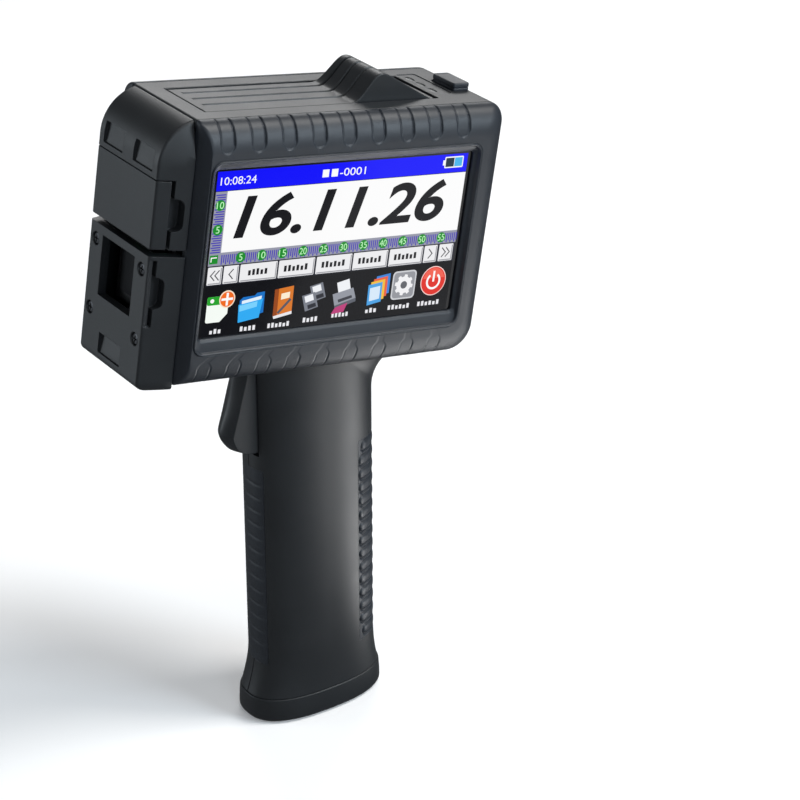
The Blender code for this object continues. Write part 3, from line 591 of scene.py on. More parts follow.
def back_cover():
    """Rolled, ribbed tray with vent slots and screw seats."""
    rings = [cavity_ring(BACK_Y - COVER_WALL), cavity_ring(BACK_SEAM_Y)]
    rings += roll_rings(BACK_SEAM_Y, BACK_Y, BACK_ROLL, start=(38, 60))
    cover = loft("back_cover_look", rings)
    for node in (f"back_screw_{k}" for k in range(1, 5)):
        x, _, z = centre_of(node)
        seat = loft("seat", [along("Y", circle(x, z, radius, 40), y) for radius, y in (
            (3.2, BACK_Y - 1.4), (3.2, BACK_Y - 0.35), (3.35, BACK_Y - 0.1), (3.6, BACK_Y + 0.05),
            (3.6, BACK_Y + 1))])
        cut(cover, seat, prism("hole", circle(x, z, 1.7), "Y", BACK_SEAM_Y, BACK_Y + 1))
    for row in range(VENTS):
        z = VENT_Z + row * VENT_PITCH
        flare = [along("Y", rectangle(-14 - g, 14 + g, z - 0.8 - g, z + 0.8 + g, 0.75 + g, 8), y)
                 for g, y in ((0, BACK_SEAM_Y), (0, BACK_Y - 0.4), (0.1, BACK_Y - 0.12), (0.4, BACK_Y + 0.05),
                              (0.4, BACK_Y + 1))]
        cut(cover, loft("vent", flare))
    return cover


def deck_cutter(name, x0, x1, y0, y1, radius, depth=6.0):
    """Cutter for a hole in the deck with a softened mouth."""
    return loft(name, [along("Z", rectangle(x0 - g, x1 + g, y0 - g, y1 + g, radius + g), z)
                       for g, z in ((0, DECK_Z - depth), (0, DECK_Z - 0.35), (0.08, DECK_Z - 0.12),
                                    (0.3, DECK_Z + 0.02), (0.3, DECK_Z + 4))])


def main_frame():
    """Middle shell: deck, rear end and underside, with the lid opening, key hole, lights and sockets."""
    def outline(inset):
        low, high = (radius - inset for radius in END_RADII)
        front, rear, bottom, top = FRAME_X + inset, REAR_X - inset, BOTTOM_Z + inset, DECK_Z - inset
        return fillet_outline([(front, bottom, 1.0), (rear, bottom, low),
                               (rear, top, high), (front, top, 1.0)], 20)

    shell = soft_prism("main_frame_look", outline, "Y", -FRAME_Y, FRAME_Y, 0.35)
    low, high = (radius - WALL for radius in END_RADII)
    inside = fillet_outline([(FRAME_X - 5, BOTTOM_Z + WALL, 0.5), (REAR_X - WALL, BOTTOM_Z + WALL, low),
                             (REAR_X - WALL, DECK_Z - WALL, high), (FRAME_X - 5, DECK_Z - WALL, 0.5)], 12)
    axis_x, axis_z = LID_AXIS
    usb, jack = size_of("usb_socket"), size_of("power_jack")
    jack_z, jack_r = (jack[0][2] + jack[1][2]) / 2, (jack[1][2] - jack[0][2]) / 2
    cut(shell, prism("inside", inside, "Y", -FRAME_Y - 1, FRAME_Y + 1),
        deck_cutter("lid_opening", LID_X0 - DECK_GAP, axis_x + KNUCKLE_R + 0.8, -LID_Y - DECK_GAP,
                    LID_Y + DECK_GAP, 0.6),
        deck_cutter("button_hole", BUTTON[0] - DECK_GAP, BUTTON[1] + DECK_GAP, BUTTON[2] - DECK_GAP,
                    BUTTON[3] + DECK_GAP, 1.2),
        prism("pin_hole", circle(axis_x, axis_z, LID_PIN_R + PIN_FIT), "Y", -14.2, 14.2),
        prism("light_panel", rectangle(40.9, 48.6, -8.6, 13.4, 1.2), "Z", DECK_Z - 0.25, DECK_Z + 2))
    for grow, depth in ((0.3, 6.0), (0.9, 0.5)):
        cut(shell, prism("usb_hole", rectangle(usb[0][1] - grow, usb[1][1] + grow, usb[0][2] - grow,
                                               usb[1][2] + grow, 0.5), "X", REAR_X - depth, REAR_X + 2),
            prism("jack_hole", circle(0.0, jack_z, jack_r + grow, 40), "X", REAR_X - depth, REAR_X + 2))
    for node in LIGHTS:
        cut(shell, prism("light_hole", light_outline(node, 0.1), "Z", DECK_Z - 6, DECK_Z + 2))
    rings = [grip_ring(GRIP_X, GRIP_HALF_X + 0.3, GRIP_HALF_Y + 0.3, z) for z in (120.0, 165.0)]
    back = HEAD.inverted()
    return cut(shell, loft("socket", [[tuple(back @ Vector(point)) for point in ring] for ring in rings]))


# ---------------------------------------------------------------- nose

def nose_solid(name, wall=0.0):
    """The nose as one solid whose cheeks lean out from the rim of its front and top."""
    back = NOSE_BACK_X + 10.0
    low = NOSE_BOTTOM_Z + wall
    climb = 10.0 * (BOTTOM_Z - NOSE_BOTTOM_Z) / (NOSE_BACK_X - NOSE_X) + BOTTOM_Z - NOSE_BOTTOM_Z

    def profile(inset):
        front, top = NOSE_X + wall + inset, DECK_Z - wall - inset
        return fillet_outline([(back, low + climb, 0), (back, top, 0),
                               (front, top, NOSE_TOP_RADIUS - wall - inset),
                               (front, low, max(NOSE_BOTTOM_RADIUS - wall, 0.8))], 28)

    rim = [(NOSE_FLAT_Y - 0.75, 0.0), (NOSE_FLAT_Y - 0.35, 0.07), (NOSE_FLAT_Y - 0.02, 0.3)]
    stations = rim + [(NOSE_FLAT_Y + CHEEK_SLOPE * inset, inset)
                      for inset in (0.75, 1.4, 3.0, 5.0, 7.5, 10.0)]
    rings = [along("Y", profile(inset), -(y - wall)) for y, inset in reversed(stations)]
    rings += [along("Y", profile(inset), y - wall) for y, inset in stations]
    return loft(name, rings)


def nose_slice(name, low, high):
    """Shell of the nose between two levels, open at its rear."""
    piece = nose_solid(name)
    boolean(piece, block("slab", (-80, -40, low), (NOSE_BACK_X + 2, 40, high)), "INTERSECT")
    return cut(piece, nose_solid("hollow", NOSE_WALL))


def trimmed(piece, width):
    """Soften a nose piece's edges, then cut it off square where it meets the frame."""
    return cut(soften(piece, width), block("rear", (NOSE_BACK_X + 0.15, -40, -60), (0, 40, 60)))


def side_cut(name, side, outline, depth=2.2):
    """Cutter for a shallow shape in one cheek: side -1 is the screen side, +1 the far side."""
    front = min(x for x, z in outline)
    level = NOSE_FLAT_Y + CHEEK_SLOPE * (front - NOSE_X) - depth
    low, high = sorted((side * level, side * 30.0))
    return prism(name, outline, "Y", low, high)


def thumb_wedge(bottom, top, low_y, high_y, depth=1.5):
    """Cutter for a pocket in the end face that deepens upwards."""
    outline = [(NOSE_X - 3, bottom), (NOSE_X + 0.75, bottom), (NOSE_X + depth, top), (NOSE_X - 3, top)]
    return prism("pocket", outline, "Y", low_y, high_y)


def nose_shroud():
    """Rounded top corner and the two cheeks behind the door, with finger pockets and blind notches."""
    shroud = nose_slice("nose_shroud_look", DOOR_BOTTOM_Z, DECK_Z + 1)
    cut(shroud, block("door_space", (-80, -40, -10), (CHEEK_X, 40, SEAM_Z + 0.3)))
    notch = fillet_outline([(CHEEK_X - 1, 7.3, 0), (-56.6, 8.2, 2.2), (-56.6, 17.6, 2.2),
                            (CHEEK_X - 1, 18.4, 0)], 8)
    for side in (-1, 1):
        low, high = sorted((side * 3.2, side * 15.0))
        cut(shroud, thumb_wedge(25.6, 32.3, low, high, 1.7), side_cut("notch", side, notch))
    return trimmed(shroud, 0.22)


def nose_door():
    """Plain block that pulls off the front of the nose."""
    door = nose_slice("nose_door_look", DOOR_BOTTOM_Z, SEAM_Z)
    return soften(cut(door, block("cheek_space", (DOOR_BACK_X, -40, -10), (0, 40, 40))), 0.35, 3)


def nozzle_plate():
    """Lower nose piece with the print window, screw seats, finger pocket, side slits and notches."""
    plate = nose_slice("nozzle_plate_look", NOSE_BOTTOM_Z - 1, PLATE_TOP_Z)
    cut(plate, thumb_wedge(-41.0, -34.3, -6.8, 6.8, 1.5),
        prism("window", rectangle(*WINDOW), "X", NOSE_X - 2, NOSE_X + 6))
    for node in (f"plate_screw_{k}" for k in range(1, 5)):
        _, y, z = centre_of(node)
        seat = loft("seat", [along("X", circle(y, z, radius, 32), x) for radius, x in (
            (2.1, NOSE_X + 1.2), (2.1, NOSE_X + 0.3), (2.3, NOSE_X - 0.02), (2.3, NOSE_X - 2))])
        cut(plate, seat, prism("hole", circle(y, z, 1.3), "X", NOSE_X - 2, NOSE_X + 6))
    slit = rectangle(-63.9, -63.0, -23.2, -1.8, 0.4, 6)
    notch = fillet_outline([(-63.6, -17.8, 0), (-60.2, -16.8, 2.2), (-60.2, -7.8, 2.2), (-63.6, -6.8, 0)], 8)
    panel = rectangle(-65.3, -63.0, -23.4, -1.7, 0.2, 2)
    for side in (-1, 1):
        cut(plate, side_cut("slit", side, slit), side_cut("notch", side, notch),
            side_cut("panel", side, panel, 0.12))
    return trimmed(plate, 0.22)


# ---------------------------------------------------------------- deck pieces

def cartridge_lid():
    """Grooved panel that runs up into the finger hump, with rounded rims and a hinge knuckle."""
    under = LID_Z - LID_THICKNESS
    flat = [(x, LID_Z) for x in np.linspace(LID_X0 + 0.75, HUMP[0][0] - 0.5, 60)]
    top = np.concatenate([[(LID_X0 + 0.45, LID_Z - 0.35)], flat, curve_through(HUMP[:-1], 9),
                          np.linspace(HUMP[-2], HUMP[-1], 24)[1:]])
    step = np.gradient(top, axis=0)
    normal = np.column_stack([-step[:, 1], step[:, 0]]) / np.linalg.norm(step, axis=1)[:, None]
    below = [(LID_AXIS[0] - 0.3, under), (LID_X0 + 0.45, under)]
    reach = smooth((top[:, 0] - LID_X0 - 3.8) / 0.8) * (1 - smooth((top[:, 0] - 17.5) / 2.5))

    def ring(y, inset=0.0):
        groove = sum(smooth((0.66 - abs(y - g)) / 0.3) for g in LID_GROOVES)
        line = top - normal * (inset + 0.8 * groove * reach)[:, None]
        points = along("Y", np.concatenate([line, below]), y)
        share = max(0.0, y / LID_Y) ** 2
        points[:, 1] -= HUMP_LEAN * share * np.clip(points[:, 2] - LID_Z, 0, None)
        return points

    rim, side = 0.45, LID_Y - 0.45
    angles = np.radians(np.linspace(0, 90, 6))
    ends = [(side - rim * (1 - math.cos(a)), rim * (1 - math.sin(a))) for a in angles]
    inner = np.linspace(-side + rim, side - rim, 118)[1:-1]
    rings = [ring(-y, inset) for y, inset in ends] + [ring(y) for y in inner]
    rings += [ring(y, inset) for y, inset in reversed(ends)]
    lid = loft("cartridge_lid_look", rings)
    hollow = [(9.6, under - 1), (9.6, under), (15.6, 48.2), (17.8, 49.3), (19.2, 49.0), (32.0, under + 0.6),
              (32.0, under - 1)]
    axis_x, axis_z = LID_AXIS
    cut(lid, prism("hump_hollow", hollow, "Y", -LID_Y + 1.9, LID_Y - 2.4))
    join(lid, prism("knuckle", circle(axis_x, axis_z, KNUCKLE_R, 40), "Y", -LID_Y, LID_Y))
    bore = circle(axis_x, axis_z, LID_PIN_R + PIN_FIT)
    return cut(lid, prism("pin_bore", bore, "Y", -LID_Y - 1, LID_Y + 1))


def power_button():
    """Rectangular key: chamfered block with a shallow dished top, and the flange under the deck."""
    x0, x1, y0, y1 = BUTTON

    def ring(inset, z):
        radius = max(1.1 - inset, 0.35)
        return along("Z", rectangle(x0 + inset, x1 - inset, y0 + inset, y1 - inset, radius, 6), z)

    top = DECK_Z + BUTTON_RISE
    key = loft("power_button_look", [ring(*pair) for pair in (
        (0, DECK_Z - 4), (0, DECK_Z + 0.55), (0.16, DECK_Z + 0.62), (0.16, DECK_Z + 0.95), (0, DECK_Z + 1.02),
        (0, top - 0.45), (0.1, top - 0.18), (0.3, top - 0.02), (0.45, top), (0.75, top), (0.95, top - 0.12),
        (1.2, top - 0.2))])
    return join(key, block("flange", (x0 - 1.2, y0 - 1.2, DECK_Z - 4.9), (x1, y1 + 1.2, DECK_Z - WALL - 1.3)))


def light_outline(node, extra=0.0):
    """Lens shape of a status light, pointed towards both sides."""
    low, high = size_of(node)
    x, y = (low[0] + high[0]) / 2, (low[1] + high[1]) / 2
    bulge, half = (high[0] - low[0]) / 2 + extra, (high[1] - low[1]) / 2 + extra
    turn = [math.pi * k / 16 for k in range(16)]
    ahead = [(x + bulge * math.sin(a), y - half * math.cos(a)) for a in turn]
    return ahead + [(x - bulge * math.sin(a), y + half * math.cos(a)) for a in turn]


def status_light(node):
    """Dark window with a slightly domed top."""
    low, high = size_of(node)
    rings = [along("Z", light_outline(node, grow), z) for grow, z in (
        (0, low[2]), (0, high[2] - 0.15), (-0.12, high[2]), (-0.5, high[2] + 0.08))]
    return loft(f"{node}_look", rings)


def screw(node, axes, axis, head_at_low):
    """Dome-headed screw with a cross recess, sized from its CAD node."""
    low, high = size_of(node, axes)
    index = "XYZ".index(axis)
    others = [k for k in range(3) if k != index]
    a, b = ((low[k] + high[k]) / 2 for k in others)
    radius, length = (high[others[0]] - low[others[0]]) / 2, high[index] - low[index]
    start, sign = (low[index], 1) if head_at_low else (high[index], -1)
    height, shank = radius * 0.4, radius * 0.52
    profile = [(0.30, 0.0), (0.55, 0.02), (0.80, 0.10), (0.94, 0.25), (1.0, 0.5), (1.0, 1.0)]
    rings = [along(axis, circle(a, b, radius * r, 40), start + sign * height * h) for r, h in profile]
    turns = 14
    for k in range(turns):
        for r, t in ((shank, k), (shank * 0.82, k + 0.5)):
            reach = height + (length - height - 0.3) * t / turns
            rings.append(along(axis, circle(a, b, r, 40), start + sign * reach))
    rings.append(along(axis, circle(a, b, shank * 0.4, 40), start + sign * length))
    piece = loft(f"{node}_look", rings)
    depth = sorted((start - sign * 0.5, start + sign * height * 0.7))
    for long, wide in ((0.62, 0.13), (0.13, 0.62)):
        slot = rectangle(a - radius * long, a + radius * long, b - radius * wide, b + radius * wide)
        cut(piece, prism("recess", slot, axis, *depth))
    return piece


# ---------------------------------------------------------------- grip

def grip_section(angles, half_x, half_y):
    """Superellipse section about its own centre, at the given angles from +x."""
    c, s = np.cos(angles), np.sin(angles)
    power = 2 / GRIP_POWER
    return np.stack([half_x * np.sign(c) * np.abs(c) ** power, half_y * np.sign(s) * np.abs(s) ** power], -1)


def grip_ring(centre_x, half_x, half_y, z, count=160):
    """One closed ring of the grip's section."""
    flat = grip_section(2 * np.pi * (np.arange(count) + 0.5) / count, half_x, half_y)
    return along("Z", flat + (centre_x, 0), z)


def angle_at_x(x):
    """Angle from +x or -x at which the section reaches x."""
    return math.acos(min(1.0, (abs(x - GRIP_X) / GRIP_HALF_X) ** (GRIP_POWER / 2)))


def underside(x):
    """Height of the head's underside over a point of the grip."""
    normal, point = HEAD.to_3x3().col[2], HEAD @ Vector((0, 0, BOTTOM_Z))
    return point.z - (x - point.x) * normal.x / normal.z


def grip_points(angles, heights):
    """Outer surface of the grip: foot flare, straight shaft, and a fillet that meets the head.

    Heights above FREE_Z are stretched so that JOIN_Z is the head's underside; beyond it the surface
    steps back to the plain shaft, which goes up into the head.
    """
    turn, z = np.meshgrid(angles, heights)
    plain = grip_section(turn, GRIP_HALF_X, GRIP_HALF_Y)
    top = underside(GRIP_X + plain[..., 0])
    real_z = np.where(z > FREE_Z, FREE_Z + (top - FREE_Z) * (z - FREE_Z) / (JOIN_Z - FREE_Z), z)
    foot = np.clip((26 - z) / 16.5, 0, 1)
    below = np.clip(top - real_z, 0, None)
    radius = 1.2 + 17.5 * np.clip(np.cos(turn), 0, 1) ** 1.5
    inside = np.clip(radius - below, 0, radius)
    fillet = np.where(z <= JOIN_Z, radius - np.sqrt(radius ** 2 - inside ** 2), 0.0)
    fillet = np.minimum(fillet, 1.2 + 7.5 * np.clip(np.cos(turn), 0, 1))
    flat = grip_section(turn, GRIP_HALF_X + 2.6 * foot ** 1.8 + fillet,
                        GRIP_HALF_Y + 0.62 * foot ** 2.6 + fillet)
    centre = GRIP_X * np.clip((z - CAP_TOP_Z) / 12.0, 0, 1)
    return np.stack([flat[..., 0] + centre, flat[..., 1], real_z], -1)


def grip_sheet(name, angles, heights, thickness, windows=(), press=None):
    """Closed wall that follows the grip's surface, less any windows (angles and heights to leave out)."""
    points = grip_points(angles, heights)
    if press is not None:
        flat = np.stack([points[..., 0] - GRIP_X, points[..., 1] * (GRIP_HALF_X / GRIP_HALF_Y) ** 1.6], -1)
        out = flat / np.linalg.norm(flat, axis=-1, keepdims=True)
        points[..., :2] += out * press(points, angles, heights)[..., None]
    rows, columns = len(heights), len(angles)
    faces = []
    for i in range(rows - 1):
        for j in range(columns - 1):
            middle = ((angles[j] + angles[j + 1]) / 2, (heights[i] + heights[i + 1]) / 2)
            if any(a0 < middle[0] < a1 and z0 < middle[1] < z1 for a0, a1, z0, z1 in windows):
                continue
            below, above = i * columns + j, (i + 1) * columns + j
            faces.append((below, below + 1, above + 1, above))
    sheet = mesh_object(name, points.reshape(-1, 3), faces)
    outwards = sum((Vector(p.center).xy - Vector((GRIP_X, 0))).dot(p.normal.xy) for p in sheet.data.polygons)
    wall = sheet.modifiers.new("wall", "SOLIDIFY")
    wall.thickness = thickness
    wall.offset = -1 if outwards > 0 else 1
    edit(sheet.data, lambda builder: bmesh.ops.delete(
        builder, geom=[v for v in builder.verts if not v.link_faces], context="VERTS"))
    return applied(sheet)


def line_with(low, high, step, *stops):
    """Evenly spread values from low to high that also hit each stop."""
    marks = sorted({low, high, *stops})
    parts = [np.linspace(a, b, max(2, int(round((b - a) / step)) + 1))[:-1] for a, b in zip(marks, marks[1:])]
    return np.concatenate([*parts, [high]])


def grip_shell(side):
    """One half of the grip's hard shell, open where the rubber strips and the trigger go."""
    pi, seam = math.pi, 0.004
    rear, front = angle_at_x(REAR_STRIP_X - 0.06), pi - angle_at_x(FRONT_STRIP_X + 0.06)
    slot = pi - math.asin((SLOT_Y / GRIP_HALF_Y) ** (GRIP_POWER / 2))
    angles = line_with(seam, pi - seam, 0.022, rear, front, slot)
    heights = line_with(CAP_TOP_Z + 0.15, 149.9, 1.0, 22.0, 23.0, 98.0, 102.0, SLOT_Z)
    heights = np.concatenate([heights, [150.01, 153.0]])
    windows = [(0, rear, *REAR_STRIP_Z), (front, pi, *FRONT_STRIP_Z), (slot, pi, SLOT_Z, 200)]
    if side < 0:
        angles = -angles[::-1]
        windows = [(-a1, -a0, z0, z1) for a0, a1, z0, z1 in windows]
    name = "grip_shell_near" if side < 0 else "grip_shell_far"
    shell = grip_sheet(f"{name}_look", angles, heights, GRIP_WALL, windows)
    if side > 0:
        for node in ("grip_screw_1", "grip_screw_2"):
            x, _, z = centre_of(node, GRIP)
            cut(shell, prism("seat", circle(x, z, 2.6, 40), "Y", GRIP_HALF_Y - 1.2, GRIP_HALF_Y + 2))
    return shell


def rear_scallops(points, angles, heights):
    """Raised finger ridges with a groove round each one, their ends rounded."""
    section = grip_section(angles, GRIP_HALF_X, GRIP_HALF_Y)
    steps = np.linalg.norm(np.diff(section, axis=0), axis=1)
    arc = np.concatenate([[0], np.cumsum(steps)])
    arc = np.abs(arc - arc[-1] / 2)
    reach = arc.max() - 0.55
    total = np.zeros(points.shape[:2])
    for k in range(SCALLOPS):
        z = SCALLOP_TOP - SCALLOP_PITCH * k
        half = 1.95
        end = reach - half - (1.3 if k in (0, SCALLOPS - 1) else 0.0)
        distance = np.hypot(np.clip(arc - end, 0, None)[None, :], (heights - z)[:, None])
        fade = 0.45 + 0.55 * smooth((arc - end + 5) / 4)[None, :]
        total += 0.16 * smooth((half - 0.3 - distance) / 1.2)
        total -= 0.75 * fade * np.exp(-((distance - half) / 0.36) ** 2)
    return total


def front_ribs(points, angles, heights):
    """Soft cross ribs that die out towards the sides."""
    phase = (heights - 24.6) / SCALLOP_PITCH
    valley = np.exp(-(((phase + 0.5) % 1 - 0.5) * SCALLOP_PITCH / 0.55) ** 2)
    inside = smooth((heights - 24) / 2) * smooth((96.5 - heights) / 2)
    side = np.abs(points[..., 1])
    return -0.22 * (valley * inside)[:, None] * smooth((side.max() - 0.3 - side) / 1.6)


def rubber_strip(node):
    """One of the two rubber strips let into the grip."""
    if node == "rear_grip":
        limit, (low, high), press = angle_at_x(REAR_STRIP_X), REAR_STRIP_Z, rear_scallops
        angles, step = np.linspace(-limit, limit, 230), 0.26
    else:
        limit, (low, high), press = angle_at_x(FRONT_STRIP_X), FRONT_STRIP_Z, front_ribs
        angles, step = np.linspace(math.pi - limit, math.pi + limit, 70), 0.3
    heights = line_with(low + 0.05, high - 0.05, step)
    return grip_sheet(f"{node}_look", angles, heights, GRIP_WALL, press=press)


def base_cap():
    """Flared foot with rounded edges and two screw seats."""
    quarter = np.radians(np.linspace(0, 90, 9))
    rings = [(2.6 * (1 - math.sin(q)), 2.2 * (1 - math.cos(q))) for q in quarter]
    rings += [(0.02, 4.0), (0.12, 6.5), (0.32, 8.9), (0.42, 9.25), (0.7, 9.42), (1.0, CAP_TOP_Z)]
    cap = loft("base_cap_look", [grip_ring(0.0, CAP_HALF_X - inset, CAP_HALF_Y - inset, z)
                                 for inset, z in rings])
    cut(cap, loft("hollow", [grip_ring(0.0, CAP_HALF_X - 3.4, CAP_HALF_Y - 3.3, z)
                             for z in (3.0, CAP_TOP_Z + 2)]))
    for node in ("base_screw_1", "base_screw_2"):
        x = centre_of(node, GRIP)[0]
        cut(cap, prism("hole", circle(x, 0.0, 1.3), "Z", -1, 6),
            prism("seat", circle(x, 0.0, 2.8, 40), "Z", -1, 1.8))
    return cap


def trigger():
    """Trigger with a rounded front facet that meets the flat sides in a crisp crease."""
    middle = curve_through([(-26.6, 137.4), (-27.9, 131.4), (-29.0, 126.0), (-30.4, 121.1), (-31.9, 117.2),
                            (-33.0, 113.9), (-32.9, 111.6), (-31.9, 109.3), (-29.6, 106.4), (-26.6, 105.0),
                            (-23.0, 104.6)], 5)
    crease = curve_through([(-24.3, 137.4), (-25.1, 132.5), (-26.7, 126.9), (-28.2, 121.6), (-29.4, 117.4),
                            (-30.6, 113.4), (-30.7, 111.9), (-29.9, 109.4), (-28.4, 107.2), (-25.9, 105.5),
                            (-22.8, 104.8)], 5)
    tail = curve_through([(-20.6, 104.9), (-18.6, 106.6), (-16.2, 113.0), (-14.7, 122.0), (-14.1, 130.0),
                          (-14.3, 134.6), (-15.6, 136.8), (-17.8, 137.7), (-20.8, 137.9)], 4)
    rings = []
    for y in np.sin(np.radians(np.linspace(-90, 90, 41))) * TRIGGER_HALF_Y:
        share = (abs(y) / TRIGGER_HALF_Y) ** 1.6
        rings.append(along("Y", np.concatenate([middle + (crease - middle) * share, tail]), y))
    lever = loft("trigger_look", rings)
    x, z = TRIGGER_AXIS
    return cut(lever, prism("pin_bore", circle(x, z, TRIGGER_PIN_R + PIN_FIT), "Y", -9, 9),
               prism("spring_room", circle(x, z, 3.4, 40), "Y", -1.6, 1.6))


def trigger_pin():
    """Plain steel pin with chamfered ends, let in below the shell's surface."""
    x, z = TRIGGER_AXIS
    ends = [(TRIGGER_PIN_R - 0.3, 8.8), (TRIGGER_PIN_R - 0.05, 8.6), (TRIGGER_PIN_R, 8.35)]
    rings = [along("Y", circle(x, z, radius, 40), -y) for radius, y in ends]
    rings += [along("Y", circle(x, z, radius, 40), y) for radius, y in reversed(ends)]
    return loft("trigger_pin_look", rings)


# ---------------------------------------------------------------- screen

def touch_glass():
    """Cover glass with rounded edges."""
    def outline(inset):
        return rectangle(GLASS_X0 + inset, GLASS_X1 - inset, GLASS_Z0 + inset, GLASS_Z1 - inset, 2.0, 8)

    return soft_prism("touch_glass_look", outline, "Y", GLASS_Y, GLASS_BACK_Y, 0.2)


class Picture:
    """Coloured flat shapes on the screen, laid in thin layers."""

    LAYER = 0.015

    def __init__(self):
        self.mesh = bmesh.new()
        self.paint = self.mesh.loops.layers.float_color.new("Paint")

    def spot(self, u, v, y):
        """Point on the glass for a point of the drawing."""
        left, top, width, height = PICTURE_BOX
        return left + u * width / PICTURE[0], y, top - v * height / PICTURE[1]

    def colour(self, faces, rgb):
        linear = [((c / 255 + 0.055) / 1.055) ** 2.4 if c > 10 else c / 255 / 12.92 for c in rgb]
        for face in faces:
            for loop in face.loops:
                loop[self.paint] = (*linear, 1.0)

    def shape(self, outline, rgb, layer):
        """Thin slab of one colour. The outline is in (u, v)."""
        rings = []
        for y in (GLASS_Y, GLASS_Y - self.LAYER * layer):
            rings.append([self.mesh.verts.new(self.spot(u, v, y)) for u, v in outline])
        back, front = rings
        count = len(front)
        faces = [self.mesh.faces.new(front), self.mesh.faces.new(back[::-1])]
        faces += [self.mesh.faces.new((back[k], back[(k + 1) % count], front[(k + 1) % count], front[k]))
                  for k in range(count)]
        self.colour(faces, rgb)

    def bar(self, u0, v0, u1, v1, rgb, layer=1, radius=0.0):
        self.shape(rectangle(u0, u1, v0, v1, radius, 5), rgb, layer)

    def disc(self, u, v, radius, rgb, layer=1):
        self.shape(circle(u, v, radius, 40), rgb, layer)

    def stroke(self, points, width, rgb, layer):
        """Line of even width through the points."""
        for (u0, v0), (u1, v1) in zip(points, points[1:]):
            step = Vector((u1 - u0, v1 - v0)).normalized() * width / 2
            side = Vector((-step.y, step.x))
            a, b = Vector((u0, v0)) - step, Vector((u1, v1)) + step
            self.shape([tuple(a - side), tuple(b - side), tuple(b + side), tuple(a + side)], rgb, layer)

    def ring(self, u, v, radius, width, rgb, layer, start=0.0, end=360.0):
        """Circular stroke between two angles, clockwise from the top."""
        turns = np.radians(np.linspace(start, end, 33))
        outer = [(u + radius * math.sin(a), v - radius * math.cos(a)) for a in turns]
        inner = [(u + (radius - width) * math.sin(a), v - (radius - width) * math.cos(a)) for a in turns]
        self.shape(outer + inner[::-1], rgb, layer)

    def number(self, text, u, v, width, height, rgb, layer, slant=0.0, weight=0.0):
        """Digits fitted into a box whose upper left corner is (u, v)."""
        curve = bpy.data.curves.new("digits", "FONT")
        curve.body = text
        curve.shear = slant
        curve.offset = weight
        curve.extrude = 0.5
        holder = linked("digits", curve)
        mesh = bpy.data.meshes.new_from_object(holder.evaluated_get(bpy.context.evaluated_depsgraph_get()))
        bpy.data.objects.remove(holder, do_unlink=True)
        points = np.array([vertex.co for vertex in mesh.vertices])
        low, high = points.min(0), points.max(0)
        share = (points - low) / (high - low)
        for vertex, (a, b, c) in zip(mesh.vertices, share):
            vertex.co = self.spot(u + a * width, v + (1 - b) * height, GLASS_Y - self.LAYER * layer * c)
        edit(mesh, lambda weld: bmesh.ops.remove_doubles(weld, verts=weld.verts, dist=0.0005))
        before = len(self.mesh.faces)
        self.mesh.from_mesh(mesh)
        self.mesh.faces.ensure_lookup_table()
        self.colour(self.mesh.faces[before:], rgb)

    def finished(self):
        mesh = bpy.data.meshes.new("screen_picture")
        bmesh.ops.recalc_face_normals(self.mesh, faces=self.mesh.faces)
        self.mesh.to_mesh(mesh)
        self.mesh.free()
        return linked("screen_picture", mesh)


WHITE, BLACK = (250, 250, 250), (4, 4, 6)
BLUE, RULER, TICK, GREEN = (8, 8, 250), (150, 152, 168), (72, 64, 176), (24, 138, 40)
LABEL, RULER_DIGIT, KEY_SHADE = (232, 232, 236), (190, 250, 190), (150, 150, 156)
RULER_FIVE = 7.72                          # drawing units for five steps of the ruler


def title_bar(picture):
    """Clock, a job number and a battery on a blue bar."""
    picture.bar(0, 0, PICTURE[0], 6.2, BLUE, 2)
    picture.number("10:08:24", 1.3, 1.9, 12.9, 2.5, WHITE, 3)
    picture.bar(38.6, 1.9, 41.0, 4.4, WHITE, 3)
    picture.bar(42.0, 1.9, 44.4, 4.4, WHITE, 3)
    picture.number("-0001", 45.2, 1.9, 9.8, 2.5, WHITE, 3)
    picture.bar(86.0, 0.8, 93.4, 4.6, WHITE, 3, 0.4)
    picture.bar(85.3, 1.9, 86.0, 3.6, WHITE, 3)
    picture.bar(86.4, 1.2, 89.7, 4.2, (30, 52, 66), 4)
    picture.bar(89.9, 1.2, 93.0, 4.2, (70, 180, 235), 4)


def rulers(picture):
    """Ruled edges at the left and below the canvas, numbered in fives."""
    picture.bar(0, 6.4, 4.2, 30.4, RULER, 2)
    picture.bar(0, 26.2, PICTURE[0], 30.4, RULER, 2)
    unit = RULER_FIVE / 5
    for k in range(2 * 59):
        u = 4.5 + k * unit / 2
        picture.bar(u, 27.0, u + unit * 0.27, 29.6 if k % 2 else 30.2, TICK, 3)
    for k in range(2 * 13 - 1):
        v = 25.8 - k * unit / 2
        picture.bar(0.7 if k % 2 else 0.2, v, 3.8, v + unit * 0.27, TICK, 3)
    for k in range(1, 12):
        u = 3.9 + RULER_FIVE * k
        picture.disc(u, 28.3, 1.75, GREEN, 4)
        wide = 1.3 if k == 1 else 2.7
        picture.number(str(5 * k), u - wide / 2, 27.2, wide, 2.2, RULER_DIGIT, 5)
    for text, v in (("10", 10.8), ("5", 18.7)):
        picture.disc(2.1, v, 1.75, GREEN, 4)
        wide = 2.6 if len(text) > 1 else 1.3
        picture.number(text, 2.1 - wide / 2, v - 1.1, wide, 2.2, RULER_DIGIT, 5)
    picture.bar(0.3, 26.9, 3.3, 29.7, GREEN, 4)
    picture.stroke([(0.9, 28.9), (0.9, 27.7), (2.7, 27.7)], 0.35, WHITE, 5)


